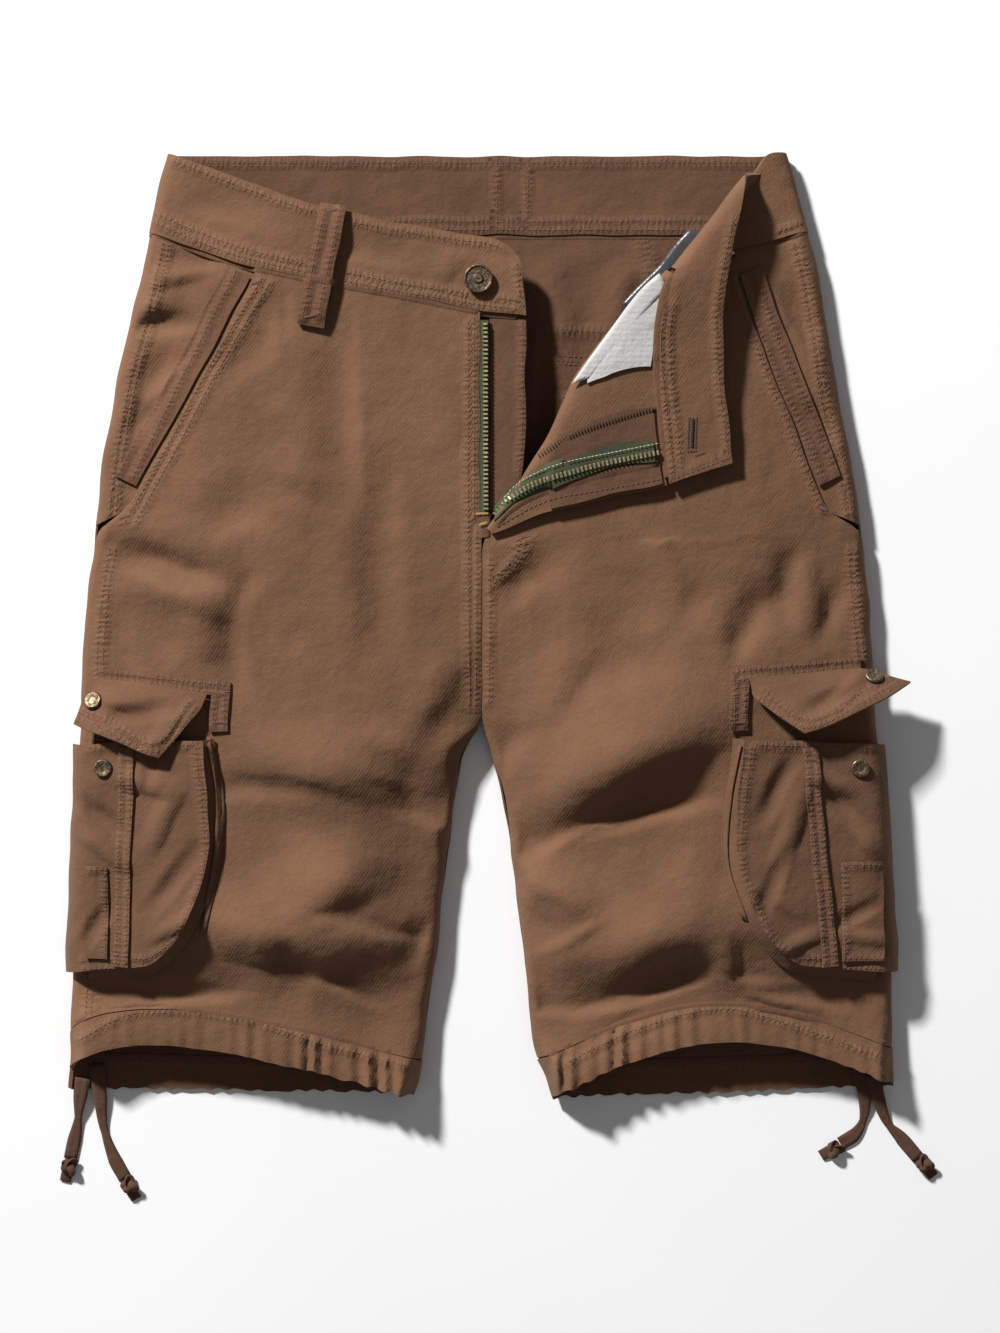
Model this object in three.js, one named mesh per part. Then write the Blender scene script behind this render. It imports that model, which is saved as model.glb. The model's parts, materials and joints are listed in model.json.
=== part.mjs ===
// Cargo shorts laid flat, front up, with the left front corner turned back.
// Millimetres. +X is the wearer's left, +Y points to the waist and +Z is up off the surface.
import * as THREE from 'three';

// Driving sizes
const CLOTH = 1.2;
const DOUBLE_CLOTH = 2.4;
const THIN_CLOTH = 1;
const SEAM_GAP = 0.4;
const LAYER_GAP = 0.5;
const CURVE_SPARE = 0.35;
const FOLD_SPARE = 0.6;
const EDGE_RADIUS = 7;
const SEAM_HEIGHT = 7;
const SEAM_CLEAR = 0.55;
const LOFT_REACH = 75;
const CROTCH_Y = -62;
const CROTCH_SPREAD = 1.2;
const CENTRE_GAP = 0.2;
const CROTCH_SPARE = 0.9;
const HEM_HEIGHT = 21;
const HEM_DIP = { depth: 7, fromY: -222, reach: 42, side: 45 };
const WAIST_Y = 235;
const WAIST_TOP = 282;
const FACING_DROP = 1.65;
const FACING_UNDERLAP = 6;
const FACING = { outerTop: 234, outerFoot: 60.2, innerFoot: 69.4, right: 208, left: 218.5 };
const WELT_WALL = 1.6;
const WELT = { topY: 208, footY: 84, inset: 2, width: 13, slant: 6, edgeClear: 8 };
const WELT_RISE = (CLOTH + WELT_WALL) / 2 + LAYER_GAP + CURVE_SPARE - FACING_DROP;
const FLY_FOOT_Y = 58;
const POCKET_DEPTH = 10;
const POCKET_ROLL = 14;
const POCKET_OVERHANG = 4;
const POCKET_FOOT_STAND = 2;
const ROLL_SHARES = [0, 0.134, 0.5, 1];

// Outline of the garment: distance of the side seam from the centre line
const SIDE_LINE = [
  { y: 282, right: 187, left: 181 },
  { y: 241, right: 197, left: 193 },
  { y: 211, right: 203, left: 201 },
  { y: 151, right: 217, left: 209 },
  { y: 91, right: 228, left: 222 },
  { y: 46, right: 231, left: 227 },
  { y: 16, right: 236, left: 231 },
  { y: -29, right: 239, left: 233 },
  { y: -104, right: 240, left: 239 },
  { y: -194, right: 244, left: 244 },
  { y: -282, right: 246, left: 245 },
];

// Distance of the inside leg from the centre line
const INSEAM = [
  { y: -62, right: 0, left: 0 },
  { y: -74, right: 13, left: 7 },
  { y: -104, right: 17, left: 16 },
  { y: -134, right: 22, left: 18 },
  { y: -194, right: 27, left: 26 },
  { y: -224, right: 33, left: 28 },
  { y: -254, right: 35, left: 32 },
  { y: -282, right: 42, left: 44 },
];

// Height of the front above the edge roll, by place along the garment
const CROWN = [
  { y: 282, rise: 5 },
  { y: 200, rise: 7 },
  { y: 60, rise: 9 },
  { y: -150, rise: 8 },
  { y: -282, rise: 5 },
];

// Hand pocket mouths and the lower seam of the waistband, as distances from the centre line
const MOUTH = [
  { y: 222, right: 128, left: 146 },
  { y: 161, right: 160, left: 168 },
  { y: 107, right: 190, left: 190 },
  { y: 66, right: 214, left: 205 },
];
const BAND_SEAM = [
  { x: 200, right: 235, left: 235 },
  { x: 146, right: 216, left: 221 },
  { x: 101, right: 206, left: 208 },
  { x: 1, right: 187, left: 187 },
  { x: -26, right: 184, left: 184 },
];
const BAND_END_SLANT = 2;
const BAND_EDGE = [
  { x: 187, y: 282 },
  { x: 100, y: 250 },
  { x: 25, y: 235 },
  { x: -1, y: 232 },
  { x: -16, y: 228 },
  { x: -24, y: 219 },
];

// The line over which the left front corner is turned back, and the edge of the fly beyond it
const FOLD_LINE = [
  { y: 275, x: 156, radius: 9 },
  { y: 211, x: 109, radius: 7 },
  { y: 178, x: 77, radius: 7 },
  { y: 145, x: 53, radius: 6 },
  { y: 109, x: 38, radius: 4.5 },
  { y: 58, x: 3, radius: 1.6 },
];
const FOLD_ACROSS = { x: 0.829, y: -0.559 };
const FLY_EDGE = [
  { y: 211, x: 110, edgeY: 83.5, hover: 6 },
  { y: 160, x: 73, edgeY: 75, hover: 5.5 },
  { y: 109, x: 38, edgeY: 67.5, hover: 5 },
  { y: 58, x: 5.4, edgeY: 55.2, hover: 3.2 },
];
const TURNED_BULGE = 8;
const FACING_LIFT = CLOTH + LAYER_GAP;

// Pieces on the turned corner: heights of their ends, with the shares between which each end lies
const ON_TURNED = {
  fly_facing: { topY: 208, footY: 112, topFrom: 0.62, topTo: 0.985, footFrom: 0.24, footTo: 0.97 },
  zip_tape_left: { topY: 205, footY: 116, topFrom: 0.77, topTo: 0.87, footFrom: 0.5, footTo: 0.72 },
  pocket_bag: { topY: 204, footY: 152, topFrom: 0.03, topTo: 0.4, footFrom: 0.03, footTo: 0.1 },
};

// The left waistband: its side, the fold and the turned end. seam is the lower edge, top the upper
const LEFT_BAND = [
  { seamX: 176, seamY: 231, topX: 170, topY: 282, lift: 0 },
  { seamX: 146, seamY: 222.5, topX: 166, topY: 277, lift: 0 },
  { seamX: 118, seamY: 210, topX: 165, topY: 270, lift: 1 },
  { seamX: 113, seamY: 211, topX: 158, topY: 269, lift: 6 },
  { seamX: 112, seamY: 212, topX: 156, topY: 267, lift: 12 },
  { seamX: 115, seamY: 210, topX: 157, topY: 262, lift: 18 },
  { seamX: 109, seamY: 196, topX: 150, topY: 236, lift: 19 },
  { seamX: 104.5, seamY: 168, topX: 143, topY: 200, lift: 16 },
  { seamX: 105, seamY: 146, topX: 142, topY: 168, lift: 12.5 },
  { seamX: 107.5, seamY: 120, topX: 144, topY: 136, lift: 9 },
  { seamX: 111.5, seamY: 84, topX: 149, topY: 97, lift: 7 },
];

// Large folds of the front: a crest of a length, curved by its bow, with a gentle and a steep side
const FOLDS = [
  { x: -180, y: 36, length: 100, angle: -17, bow: 0, upper: 10, lower: 8, rise: -7 },
  { x: -172, y: 12, length: 96, angle: -19, bow: 0, upper: 9, lower: 11, rise: 4 },
  { x: -146, y: -12, length: 80, angle: 90, bow: 0, upper: 10, lower: 7, rise: -3.5 },
  { x: -75, y: 80, length: 240, angle: 93, bow: 0, upper: 22, lower: 14, rise: 5 },
  { x: -142, y: -212, length: 215, angle: -2, bow: 33, upper: 28, lower: 15, rise: 14 },
  { x: -88, y: -104, length: 160, angle: -16, bow: 10, upper: 26, lower: 14, rise: 10 },
  { x: -82, y: -150, length: 100, angle: 26, bow: 0, upper: 18, lower: 13, rise: 7 },
  { x: -66, y: -184, length: 110, angle: -16, bow: 0, upper: 12, lower: 10, rise: 6 },
  { x: -42, y: -93, length: 76, angle: -32, bow: 0, upper: 11, lower: 10, rise: -7 },
  { x: 82, y: -84, length: 200, angle: 31, bow: 0, upper: 34, lower: 19, rise: 14 },
  { x: 125, y: -219, length: 220, angle: 1, bow: 44, upper: 28, lower: 15, rise: 14 },
  { x: 46, y: -161, length: 84, angle: -24, bow: 0, upper: 14, lower: 10, rise: 7 },
  { x: 35, y: 30, length: 60, angle: 35, bow: 0, upper: 10, lower: 10, rise: -5 },
  { x: 172, y: 18, length: 70, angle: 50, bow: 0, upper: 13, lower: 10, rise: -6 },
];
const FOLD_FADE = 16;

// The two sides of the front: rows from the waist to the hem, outer and inner ends with an arch
const FRONT_ROWS = {
  right: [
    { outer: 211, inner: 186, arch: -2, steps: 4 },
    { outer: 161, inner: 150, arch: 0, steps: 4 },
    { outer: 107, inner: 105, arch: 0, steps: 3 },
    { outer: 67, inner: 66, arch: 0, steps: 1 },
    { outer: 58, inner: 55, arch: 0, steps: 4 },
    { outer: 0, inner: 0, arch: 0, steps: 3 },
    { outer: -48, inner: -50, arch: 0, steps: 1 },
    { outer: -60, inner: -61, arch: 0, steps: 1 },
    { outer: -72, inner: -74, arch: 0, steps: 3 },
    { outer: -114, inner: -114, arch: 0, steps: 4 },
    { outer: -150, inner: -150, arch: 3, steps: 6 },
    { outer: -200, inner: -206, arch: 14, steps: 6 },
    { outer: -242, inner: -258, arch: 20, steps: 0 },
  ],
  left: [
    { outer: 219, inner: 211, arch: 0, steps: 4 },
    { outer: 161, inner: 160, arch: 0, steps: 4 },
    { outer: 107, inner: 109, arch: 0, steps: 3 },
    { outer: 67, inner: 66, arch: 0, steps: 1 },
    { outer: 58, inner: 58, arch: 0, steps: 1 },
    { outer: 50, inner: 50, arch: 0, steps: 4 },
    { outer: 0, inner: 0, arch: 0, steps: 3 },
    { outer: -48, inner: -50, arch: 0, steps: 1 },
    { outer: -60, inner: -61, arch: 0, steps: 1 },
    { outer: -72, inner: -74, arch: 0, steps: 3 },
    { outer: -114, inner: -114, arch: 0, steps: 4 },
    { outer: -150, inner: -150, arch: 6, steps: 6 },
    { outer: -200, inner: -206, arch: 22, steps: 6 },
    { outer: -251, inner: -258, arch: 30, steps: 0 },
  ],
};
const FRONT_COLUMNS = 18;
const TURN_COLUMNS = 6;
const FLAP_COLUMNS = 9;
const ARCH_POWER = { right: 0.6, left: 1 };

// Back panels: rows from the waist seam to the hem seam
const BACK_ROWS = [
  { outer: 234.3, inner: 234.3, steps: 4 },
  { outer: 50, inner: 50, steps: 2 },
  { outer: -48, inner: -48, steps: 1 },
  { outer: -60, inner: -61, steps: 1 },
  { outer: -74, inner: -74, steps: 4 },
  { outer: -254, inner: -260, steps: 0 },
];
const BACK_HEM = {
  right: { outer: -276, inner: -279 },
  left: { outer: -275, inner: -282 },
};

// Cargo pockets: front edge of the body, with the strap and the patch on it
const CARGO_EDGE = [
  { y: -60, right: 165, left: 155 },
  { y: -134, right: 160, left: 149 },
  { y: -164, right: 168, left: 158 },
  { y: -184, right: 178, left: 168 },
  { y: -200, right: 194, left: 186 },
];
const CARGO_TOP = { front: -67, side: -70 };
const CARGO_FOOT = { front: -200, side: -206 };
const STRAP = {
  right: { topX: 210, footX: 213 },
  left: { topX: 194, footX: 206 },
};
const STRAP_WIDTH = 9;
const STRAP_INSET = { top: 2, foot: 1 };
const GUSSET = { spread: 6, tuck: 1.6, sideColumns: 2 };
const PATCH_BELLY = 2;
const PATCH = {
  right: { innerX: 221, outerX: 234, topY: -142, footY: -197 },
  left: { innerX: 213, outerX: 238, topY: -139, footY: -198 },
};
const TAPE = {
  right: { innerX: 150, outerX: 229, innerY: -33, outerY: -25, legFoot: -62 },
  left: { innerX: 147, outerX: 225, innerY: -25, outerY: -18, legFoot: -62 },
};
const FLAP_STAND = 4.3;
const FLAP_WALL = 1.8;
const FLAP_CURVE = 0.8;
const TAPE_WIDTH = 8;
const TAPE_LEG = 11;

// Cargo flaps: ends of the upper line, and the lower line with its heights
const FLAP_UPPER = {
  right: [{ x: 163, y: -39 }, { x: 232, y: -31 }],
  left: [{ x: 158, y: -31 }, { x: 226, y: -25 }],
};
const FLAP_LOWER = {
  right: [
    { share: 1, x: 242, y: -58, z: 25 },
    { share: 0.75, x: 225, y: -64, z: 37 },
    { share: 0.35, x: 191, y: -79, z: 39 },
    { share: 0, x: 166, y: -49, z: 30 },
  ],
  left: [
    { share: 1, x: 255, y: -33, z: 20 },
    { share: 0.75, x: 238, y: -43, z: 34 },
    { share: 0.35, x: 192, y: -65, z: 42 },
    { share: 0, x: 160, y: -42, z: 30 },
  ],
};

// Small round and narrow forms
const LOOP = { topX: -88, topY: 250, footX: -101.5, footY: 178, width: 16, stand: 3.6, start: 1.7 };
const BUTTON = {
  x: -2, y: 206, radius: 8.7, height: 3.6, boss: 3, shank: 4.35, edge: 1.4, rim: 0.8, dish: 0.9,
};
const SNAP = { radius: 5.6, height: 1.8, boss: 3, rim: 0.8, dish: 0.6, edge: 1.1, stand: 1.6 };
const SNAP_CAP = { across: 0.9, down: 0.45 };
const SNAP_STUD = { out: 224, y: -84 };
const PROBE = 2;
const BUTTON_CLEAR = 0.5;
const SHIELD = { startX: 4.6, endX: 26, topY: 183, footY: 66, drop: 2.2, narrowFrom: 0.7, narrowBy: 10 };
const ZIP_RIGHT = { startX: -0.9, endX: 4, topY: 182, footY: 68, tilt: 0.4 };
const ROUND_SIDES = 16;

// Drawcords of the hems: flat tapes that end in a knot
const CORD_WIDTH = 7;
const CORD_THICKNESS = 1.6;
const CORD_STEP = 11;
const CORD_SIDES = 8;
const KNOT = { length: 5.5, width: 4.6, height: 2.6, gap: 0.5, stand: 0.1 };
const CORDS = {
  drawcord_right_long: [
    [-231, -262, 4.8], [-229, -279, 4], [-227, -300, 1.3], [-221, -318, 1], [-214, -331, 1],
  ],
  drawcord_right_short: [
    [-239, -270, 5.6], [-241, -284, 4.2], [-243, -300, 1.3], [-247, -319, 1],
  ],
  drawcord_left_short: [
    [225, -262, 4.8], [229, -279, 4], [229, -294, 1.4], [224, -304, 1], [215, -310, 1],
  ],
  drawcord_left_long: [
    [234, -268, 5.2], [237, -281, 4], [243, -297, 1.3], [251, -306, 1], [262, -319, 1],
  ],
};

// Colours and finishes
const BROWN = { color: 0x5f4535, roughness: 0.9, metalness: 0 };
const BROWN_INSIDE = { color: 0x5a4234, roughness: 0.92, metalness: 0 };
const BROWN_TRIM = { color: 0x58402f, roughness: 0.88, metalness: 0 };
const OLIVE_TAPE = { color: 0x39382a, roughness: 0.8, metalness: 0 };
const BAG_CLOTH = { color: 0xb5b1ac, roughness: 0.85, metalness: 0 };
const ANTIQUE_BRASS = { color: 0x4c4030, roughness: 0.45, metalness: 0.9 };
const CORD_CLOTH = { color: 0x3b271d, roughness: 0.9, metalness: 0 };

const lerp = (from, to, share) => from + (to - from) * share;
const clamp01 = (value) => Math.min(1, Math.max(0, value));
const smooth = (value) => clamp01(value) ** 2 * (3 - 2 * clamp01(value));
const signOf = (side) => (side === 'right' ? -1 : 1);

// Reads one column of a table of rows that run from the highest key to the lowest
function read(rows, key, at, column) {
  const below = rows.findIndex((row) => at >= row[key]);
  if (below === 0) return rows[0][column];
  if (below < 0) return rows[rows.length - 1][column];
  const high = rows[below - 1];
  const low = rows[below];
  return lerp(high[column], low[column], (high[key] - at) / (high[key] - low[key]));
}

// Spreads a table of rows into grid rows, as many between two rows as the steps column says
function spreadRows(rows, columns) {
  const spread = [];
  for (let index = 0; index < rows.length - 1; index += 1) {
    for (let step = 0; step < rows[index].steps; step += 1) {
      const share = step / rows[index].steps;
      const between = (column) => lerp(rows[index][column], rows[index + 1][column], share);
      spread.push(Object.fromEntries(columns.map((column) => [column, between(column)])));
    }
  }
  spread.push(rows[rows.length - 1]);
  return spread;
}

// Distances across a panel, with close steps where an end turns over in a roll
function crossing(columns, width, rollStart, rollEnd, radius = EDGE_RADIUS) {
  const steps = ROLL_SHARES.map((share) => share * radius);
  const start = rollStart ? steps : [0];
  const end = rollEnd ? steps.map((step) => width - step).reverse() : [width];
  const between = columns + 1 - start.length - end.length;
  const from = start[start.length - 1];
  const middle = [];
  for (let index = 1; index <= between; index += 1) {
    middle.push(lerp(from, end[0], index / (between + 1)));
  }
  return [...start, ...middle, ...end];
}

// Share of a quarter round at a distance in from an edge
function edgeRoll(distance, radius = EDGE_RADIUS) {
  return Math.sqrt(1 - (1 - clamp01(distance / radius)) ** 2);
}

function edgeDistances(x, y) {
  const side = x < 0 ? 'right' : 'left';
  const out = Math.abs(x);
  const fromSide = read(SIDE_LINE, 'y', y, side) - out;
  const overCrotch = Math.max(0, y - CROTCH_Y) * CROTCH_SPREAD;
  return { fromSide, fromInseam: out - read(INSEAM, 'y', y, side) + overCrotch };
}

// Rise of one fold at a place on the front
function foldRise(fold, x, y) {
  const turn = THREE.MathUtils.degToRad(fold.angle);
  const along = (x - fold.x) * Math.cos(turn) + (y - fold.y) * Math.sin(turn);
  const reach = (2 * along) / fold.length;
  if (Math.abs(reach) >= 1) return 0;
  const across = (y - fold.y) * Math.cos(turn) - (x - fold.x) * Math.sin(turn);
  const offset = across - fold.bow * (1 - reach ** 2);
  const width = offset > 0 ? fold.upper : fold.lower;
  return (fold.rise * (1 - smooth(Math.abs(reach)))) / (1 + (offset / width) ** 2);
}

// Height of the middle of the front cloth
function frontHeight(x, y) {
  const { fromSide, fromInseam } = edgeDistances(x, y);
  const roll = edgeRoll(fromSide) * edgeRoll(fromInseam);
  const loft = smooth(fromSide / LOFT_REACH) * smooth(fromInseam / LOFT_REACH);
  const fade = smooth(fromSide / FOLD_FADE) * smooth(fromInseam / FOLD_FADE);
  const folds = FOLDS.reduce((sum, fold) => sum + foldRise(fold, x, y), 0);
  const crown = read(CROWN, 'y', y, 'rise');
  return SEAM_HEIGHT + SEAM_CLEAR + EDGE_RADIUS * roll + crown * loft + folds * fade;
}

// Height of the middle of the back cloth, which rests on the surface and curls up at its edges
function backHeight(x, y, wall) {
  const { fromSide, fromInseam } = edgeDistances(x, y);
  const roll = edgeRoll(fromSide) * edgeRoll(fromInseam);
  return wall / 2 + (SEAM_HEIGHT - SEAM_CLEAR - wall / 2) * (1 - roll);
}

function meshOf(name, look, positions, faces) {
  const geometry = new THREE.BufferGeometry();
  geometry.setAttribute('position', new THREE.Float32BufferAttribute(positions, 3));
  geometry.setIndex(faces.flat());
  geometry.computeVertexNormals();
  const mesh = new THREE.Mesh(geometry, new THREE.MeshStandardMaterial(look));
  mesh.name = name;
  return mesh;
}

// Gives a sheet of middle points and triangles its wall, closed round every free edge
function clothSolid(name, look, wall, middles, faces) {
  const normals = middles.map(() => new THREE.Vector3());
  const edges = new Map();
  for (const face of faces) {
    const [a, b, c] = face.map((index) => middles[index]);
    const normal = b.clone().sub(a).cross(c.clone().sub(a));
    face.forEach((index, place) => {
      normals[index].add(normal);
      edges.set(`${index}>${face[(place + 1) % 3]}`, [index, face[(place + 1) % 3]]);
    });
  }
  const count = middles.length;
  for (const normal of normals) normal.normalize();
  const moved = (by) => middles.map((point, index) => point.clone().addScaledVector(normals[index], by));
  const [upper, lower] = [moved(wall / 2), moved(-wall / 2)];
  const closed = [];
  for (const [a, b, c] of faces) {
    closed.push([a, b, c], [c + count, b + count, a + count]);
  }
  for (const [a, b] of edges.values()) {
    if (!edges.has(`${b}>${a}`)) closed.push([a + count, b + count, b], [a + count, b, a]);
  }
  const positions = [...upper, ...lower].flatMap((point) => point.toArray());
  return meshOf(name, look, positions, closed);
}

// A cloth piece from a grid of middle points; keep leaves cells out
function gridCloth(name, look, wall, columns, rows, at, keep = () => true) {
  const places = new Map();
  const middles = [];
  const corner = (column, row) => {
    const key = `${column},${row}`;
    if (!places.has(key)) {
      places.set(key, middles.length);
      middles.push(at(column, row));
    }
    return places.get(key);
  };
  const faces = [];
  for (let row = 0; row < rows; row += 1) {
    for (let column = 0; column < columns; column += 1) {
      if (!keep(column, row)) continue;
      const [a, b] = [corner(column, row), corner(column + 1, row)];
      const [c, d] = [corner(column + 1, row + 1), corner(column, row + 1)];
      faces.push([a, b, c], [a, c, d]);
    }
  }
  return clothSolid(name, look, wall, middles, faces);
}

// Start of the turn at a height on the garment, just inside the fold line
function foldStart(y) {
  const radius = read(FOLD_LINE, 'y', y, 'radius');
  const x = read(FOLD_LINE, 'y', y, 'x') + radius * FOLD_ACROSS.x;
  const startY = y + radius * FOLD_ACROSS.y;
  return { x, y: startY, radius, base: frontHeight(x, startY) };
}

// Outer and inner end of a row of the front
function outerEnd(side, y) {
  const mouthFoot = MOUTH[MOUTH.length - 1].y;
  return read(y > mouthFoot ? MOUTH : SIDE_LINE, 'y', y, side);
}
function innerEnd(side, y) {
  const nearCrotch = CROTCH_SPARE * (1 - smooth((y - CROTCH_Y) / (2 * EDGE_RADIUS)));
  if (y > CROTCH_Y) return CENTRE_GAP + nearCrotch + (side === 'right' && y > FLY_FOOT_Y ? 1 : 0);
  return Math.max(CENTRE_GAP + CROTCH_SPARE, read(INSEAM, 'y', y, side));
}

// The front droops towards its hem, except at the seams
function hemDip(rowY, x, y) {
  const { fromSide, fromInseam } = edgeDistances(x, y);
  const free = smooth(fromSide / HEM_DIP.side) * smooth(fromInseam / HEM_DIP.side);
  return HEM_DIP.depth * smooth((HEM_DIP.fromY - rowY) / HEM_DIP.reach) * free;
}

// Middle point of the front at a row of its table and a distance in from the outer end
function frontPoint(side, row, distance, outX, inX) {
  const share = distance / (outX - inX);
  const arch = row.arch * Math.sin(Math.PI * share ** ARCH_POWER[side]);
  const x = signOf(side) * (outX - distance);
  const y = lerp(row.outer, row.inner, share) + arch;
  return new THREE.Vector3(x, y, frontHeight(x, y) - hemDip(row.outer, x, y));
}

function frontRight() {
  const rows = spreadRows(FRONT_ROWS.right, ['outer', 'inner', 'arch']);
  const at = (column, index) => {
    const row = rows[index];
    const [outX, inX] = [outerEnd('right', row.outer), innerEnd('right', row.inner)];
    const distances = crossing(FRONT_COLUMNS, outX - inX, true, true);
    const point = frontPoint('right', row, distances[column], outX, inX);
    if (index > 0) return point;
    const seamY = read(BAND_SEAM, 'x', -point.x, 'right') - SEAM_GAP;
    return new THREE.Vector3(point.x, seamY, frontHeight(point.x, seamY));
  };
  return gridCloth('front_right', BROWN, CLOTH, FRONT_COLUMNS, rows.length - 1, at);
}

// Middle point of the turned corner: share 0 is the end of the turn, 1 the edge of the fly
function turnedPoint(y, share, lift = 0) {
  const start = foldStart(y);
  const up = (y - FLY_FOOT_Y) / (FOLD_LINE[1].y - FLY_FOOT_Y);
  const bulge = TURNED_BULGE * up * Math.sin(Math.PI * share);
  const x = lerp(start.x, read(FLY_EDGE, 'y', y, 'x'), share) - bulge;
  const pointY = lerp(start.y, read(FLY_EDGE, 'y', y, 'edgeY'), share);
  const hover = lerp(2 * start.radius, read(FLY_EDGE, 'y', y, 'hover'), smooth(share));
  const base = lerp(start.base, frontHeight(x, pointY), smooth(2 * share));
  return new THREE.Vector3(x, pointY, base + hover + lift);
}

// Middle point on the turn itself, from the flat front at angle 0 to the turned corner at pi
function turnPoint(y, angle, extra = 0) {
  const start = foldStart(y);
  const reach = (start.radius + extra) * Math.sin(angle);
  const x = start.x - reach * FOLD_ACROSS.x;
  const pointY = start.y - reach * FOLD_ACROSS.y;
  const rise = start.radius - (start.radius + extra) * Math.cos(angle);
  return new THREE.Vector3(x, pointY, start.base + rise);
}

function frontLeft() {
  const rows = spreadRows(FRONT_ROWS.left, ['outer', 'inner', 'arch']);
  const flyRow = rows.findIndex((row) => row.inner <= FLY_FOOT_Y);
  const columns = FRONT_COLUMNS + TURN_COLUMNS + FLAP_COLUMNS;
  const at = (column, index) => {
    const row = rows[index];
    if (column > FRONT_COLUMNS + TURN_COLUMNS) {
      return turnedPoint(row.inner, (column - FRONT_COLUMNS - TURN_COLUMNS) / FLAP_COLUMNS);
    }
    if (column > FRONT_COLUMNS) {
      return turnPoint(row.inner, (Math.PI * (column - FRONT_COLUMNS)) / TURN_COLUMNS);
    }
    const turned = index <= flyRow;
    const start = turned ? foldStart(row.inner) : null;
    const flat = turned ? { ...row, inner: start.y } : row;
    const [outX, inX] = [outerEnd('left', row.outer), turned ? start.x : innerEnd('left', row.inner)];
    const distances = crossing(FRONT_COLUMNS, outX - inX, true, !turned);
    return frontPoint('left', flat, distances[column], outX, inX);
  };
  const keep = (column, row) => column < FRONT_COLUMNS || row < flyRow;
  return gridCloth('front_left', BROWN, CLOTH, columns, rows.length - 1, at, keep);
}

function back(side) {
  const rows = spreadRows(BACK_ROWS, ['outer', 'inner']);
  const columns = 11;
  const at = (column, index) => {
    const row = rows[index];
    const outX = read(SIDE_LINE, 'y', row.outer, side);
    const inX = innerEnd(side, Math.min(row.inner, FLY_FOOT_Y));
    const distance = crossing(columns, outX - inX, true, true)[column];
    const x = signOf(side) * (outX - distance);
    const y = lerp(row.outer, row.inner, distance / (outX - inX));
    return new THREE.Vector3(x, y, backHeight(x, y, CLOTH));
  };
  return gridCloth(`back_${side}`, BROWN_INSIDE, CLOTH, columns, rows.length - 1, at);
}

// Part of the front between the side seam and the mouth of the hand pocket
function sideFacing(side) {
  const [columns, rows] = [7, 8];
  const at = (column, row) => {
    const down = row / rows;
    const outerY = lerp(FACING.outerTop, FACING.outerFoot, down);
    const innerY = lerp(FACING[side], FACING.innerFoot, down);
    const outX = read(SIDE_LINE, 'y', outerY, side);
    const inX = read(MOUTH, 'y', innerY, side) - FACING_UNDERLAP * (1 - down);
    const distance = crossing(columns, outX - inX, true, false)[column];
    const x = signOf(side) * (outX - distance);
    const y = lerp(outerY, innerY, distance / (outX - inX));
    const drop = FACING_DROP * smooth(distance / (2 * EDGE_RADIUS));
    return new THREE.Vector3(x, y, frontHeight(x, y) - drop);
  };
  return gridCloth(`side_facing_${side}`, BROWN, CLOTH, columns, rows, at);
}

// Stitched strip along the outer side of a pocket mouth
function pocketWelt(side) {
  const [columns, rows] = [2, 9];
  const at = (column, row) => {
    const y = lerp(WELT.topY, WELT.footY, row / rows);
    const inner = read(MOUTH, 'y', y, side) + WELT.inset;
    const outer = Math.min(inner + WELT.width, read(SIDE_LINE, 'y', y, side) - WELT.edgeClear);
    const x = signOf(side) * lerp(outer, inner, column / columns);
    const rowY = y + WELT.slant * (1 - column / columns);
    return new THREE.Vector3(x, rowY, frontHeight(x, rowY) + WELT_RISE);
  };
  return gridCloth(`pocket_welt_${side}`, BROWN_TRIM, WELT_WALL, columns, rows, at);
}

function waistbandBack() {
  const [columns, rows] = [20, 2];
  const at = (column, row) => {
    const y = lerp(WAIST_Y, WAIST_TOP, row / rows);
    const [right, left] = [read(SIDE_LINE, 'y', y, 'right'), read(SIDE_LINE, 'y', y, 'left')];
    const x = crossing(columns, right + left, true, true)[column] - right;
    return new THREE.Vector3(x, y, backHeight(x, y, DOUBLE_CLOTH));
  };
  return gridCloth('waistband_back', BROWN_INSIDE, DOUBLE_CLOTH, columns, rows, at);
}

function waistbandRight() {
  const [columns, rows] = [20, 3];
  const end = BAND_EDGE[BAND_EDGE.length - 1].x;
  const at = (column, row) => {
    const [seamStart, topStart] = [read(SIDE_LINE, 'y', WAIST_Y, 'right'), BAND_EDGE[0].x];
    const seamX = seamStart - crossing(columns, seamStart - end + BAND_END_SLANT, true, false)[column];
    const topX = topStart - crossing(columns, topStart - end, true, false)[column];
    const seamY = read(BAND_SEAM, 'x', seamX, 'right') + SEAM_GAP;
    const share = row / rows;
    const x = -lerp(topX, seamX, share);
    const y = lerp(read(BAND_EDGE, 'x', topX, 'y'), seamY, share);
    return new THREE.Vector3(x, y, frontHeight(x, y));
  };
  return gridCloth('waistband_right', BROWN, DOUBLE_CLOTH, columns, rows, at);
}

// The left waistband runs from its side seam to the fold and back along the turned corner
function waistbandLeft() {
  const rows = 3;
  const rolled = ROLL_SHARES.slice(0, 3).map((share) => share * EDGE_RADIUS);
  const stations = LEFT_BAND.length;
  const columns = rolled.length + stations - 1;
  const at = (column, row) => {
    const share = row / rows;
    if (column < rolled.length) {
      const y = lerp(WAIST_TOP, WAIST_Y, share);
      const x = read(SIDE_LINE, 'y', y, 'left') - rolled[column];
      return new THREE.Vector3(x, y, frontHeight(x, y));
    }
    const place = LEFT_BAND[column - rolled.length];
    const x = lerp(place.topX, place.seamX, share);
    const y = lerp(place.topY, place.seamY, share);
    return new THREE.Vector3(x, y, frontHeight(x, y) + place.lift);
  };
  return gridCloth('waistband_left', BROWN, DOUBLE_CLOTH, columns, rows, at);
}

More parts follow.
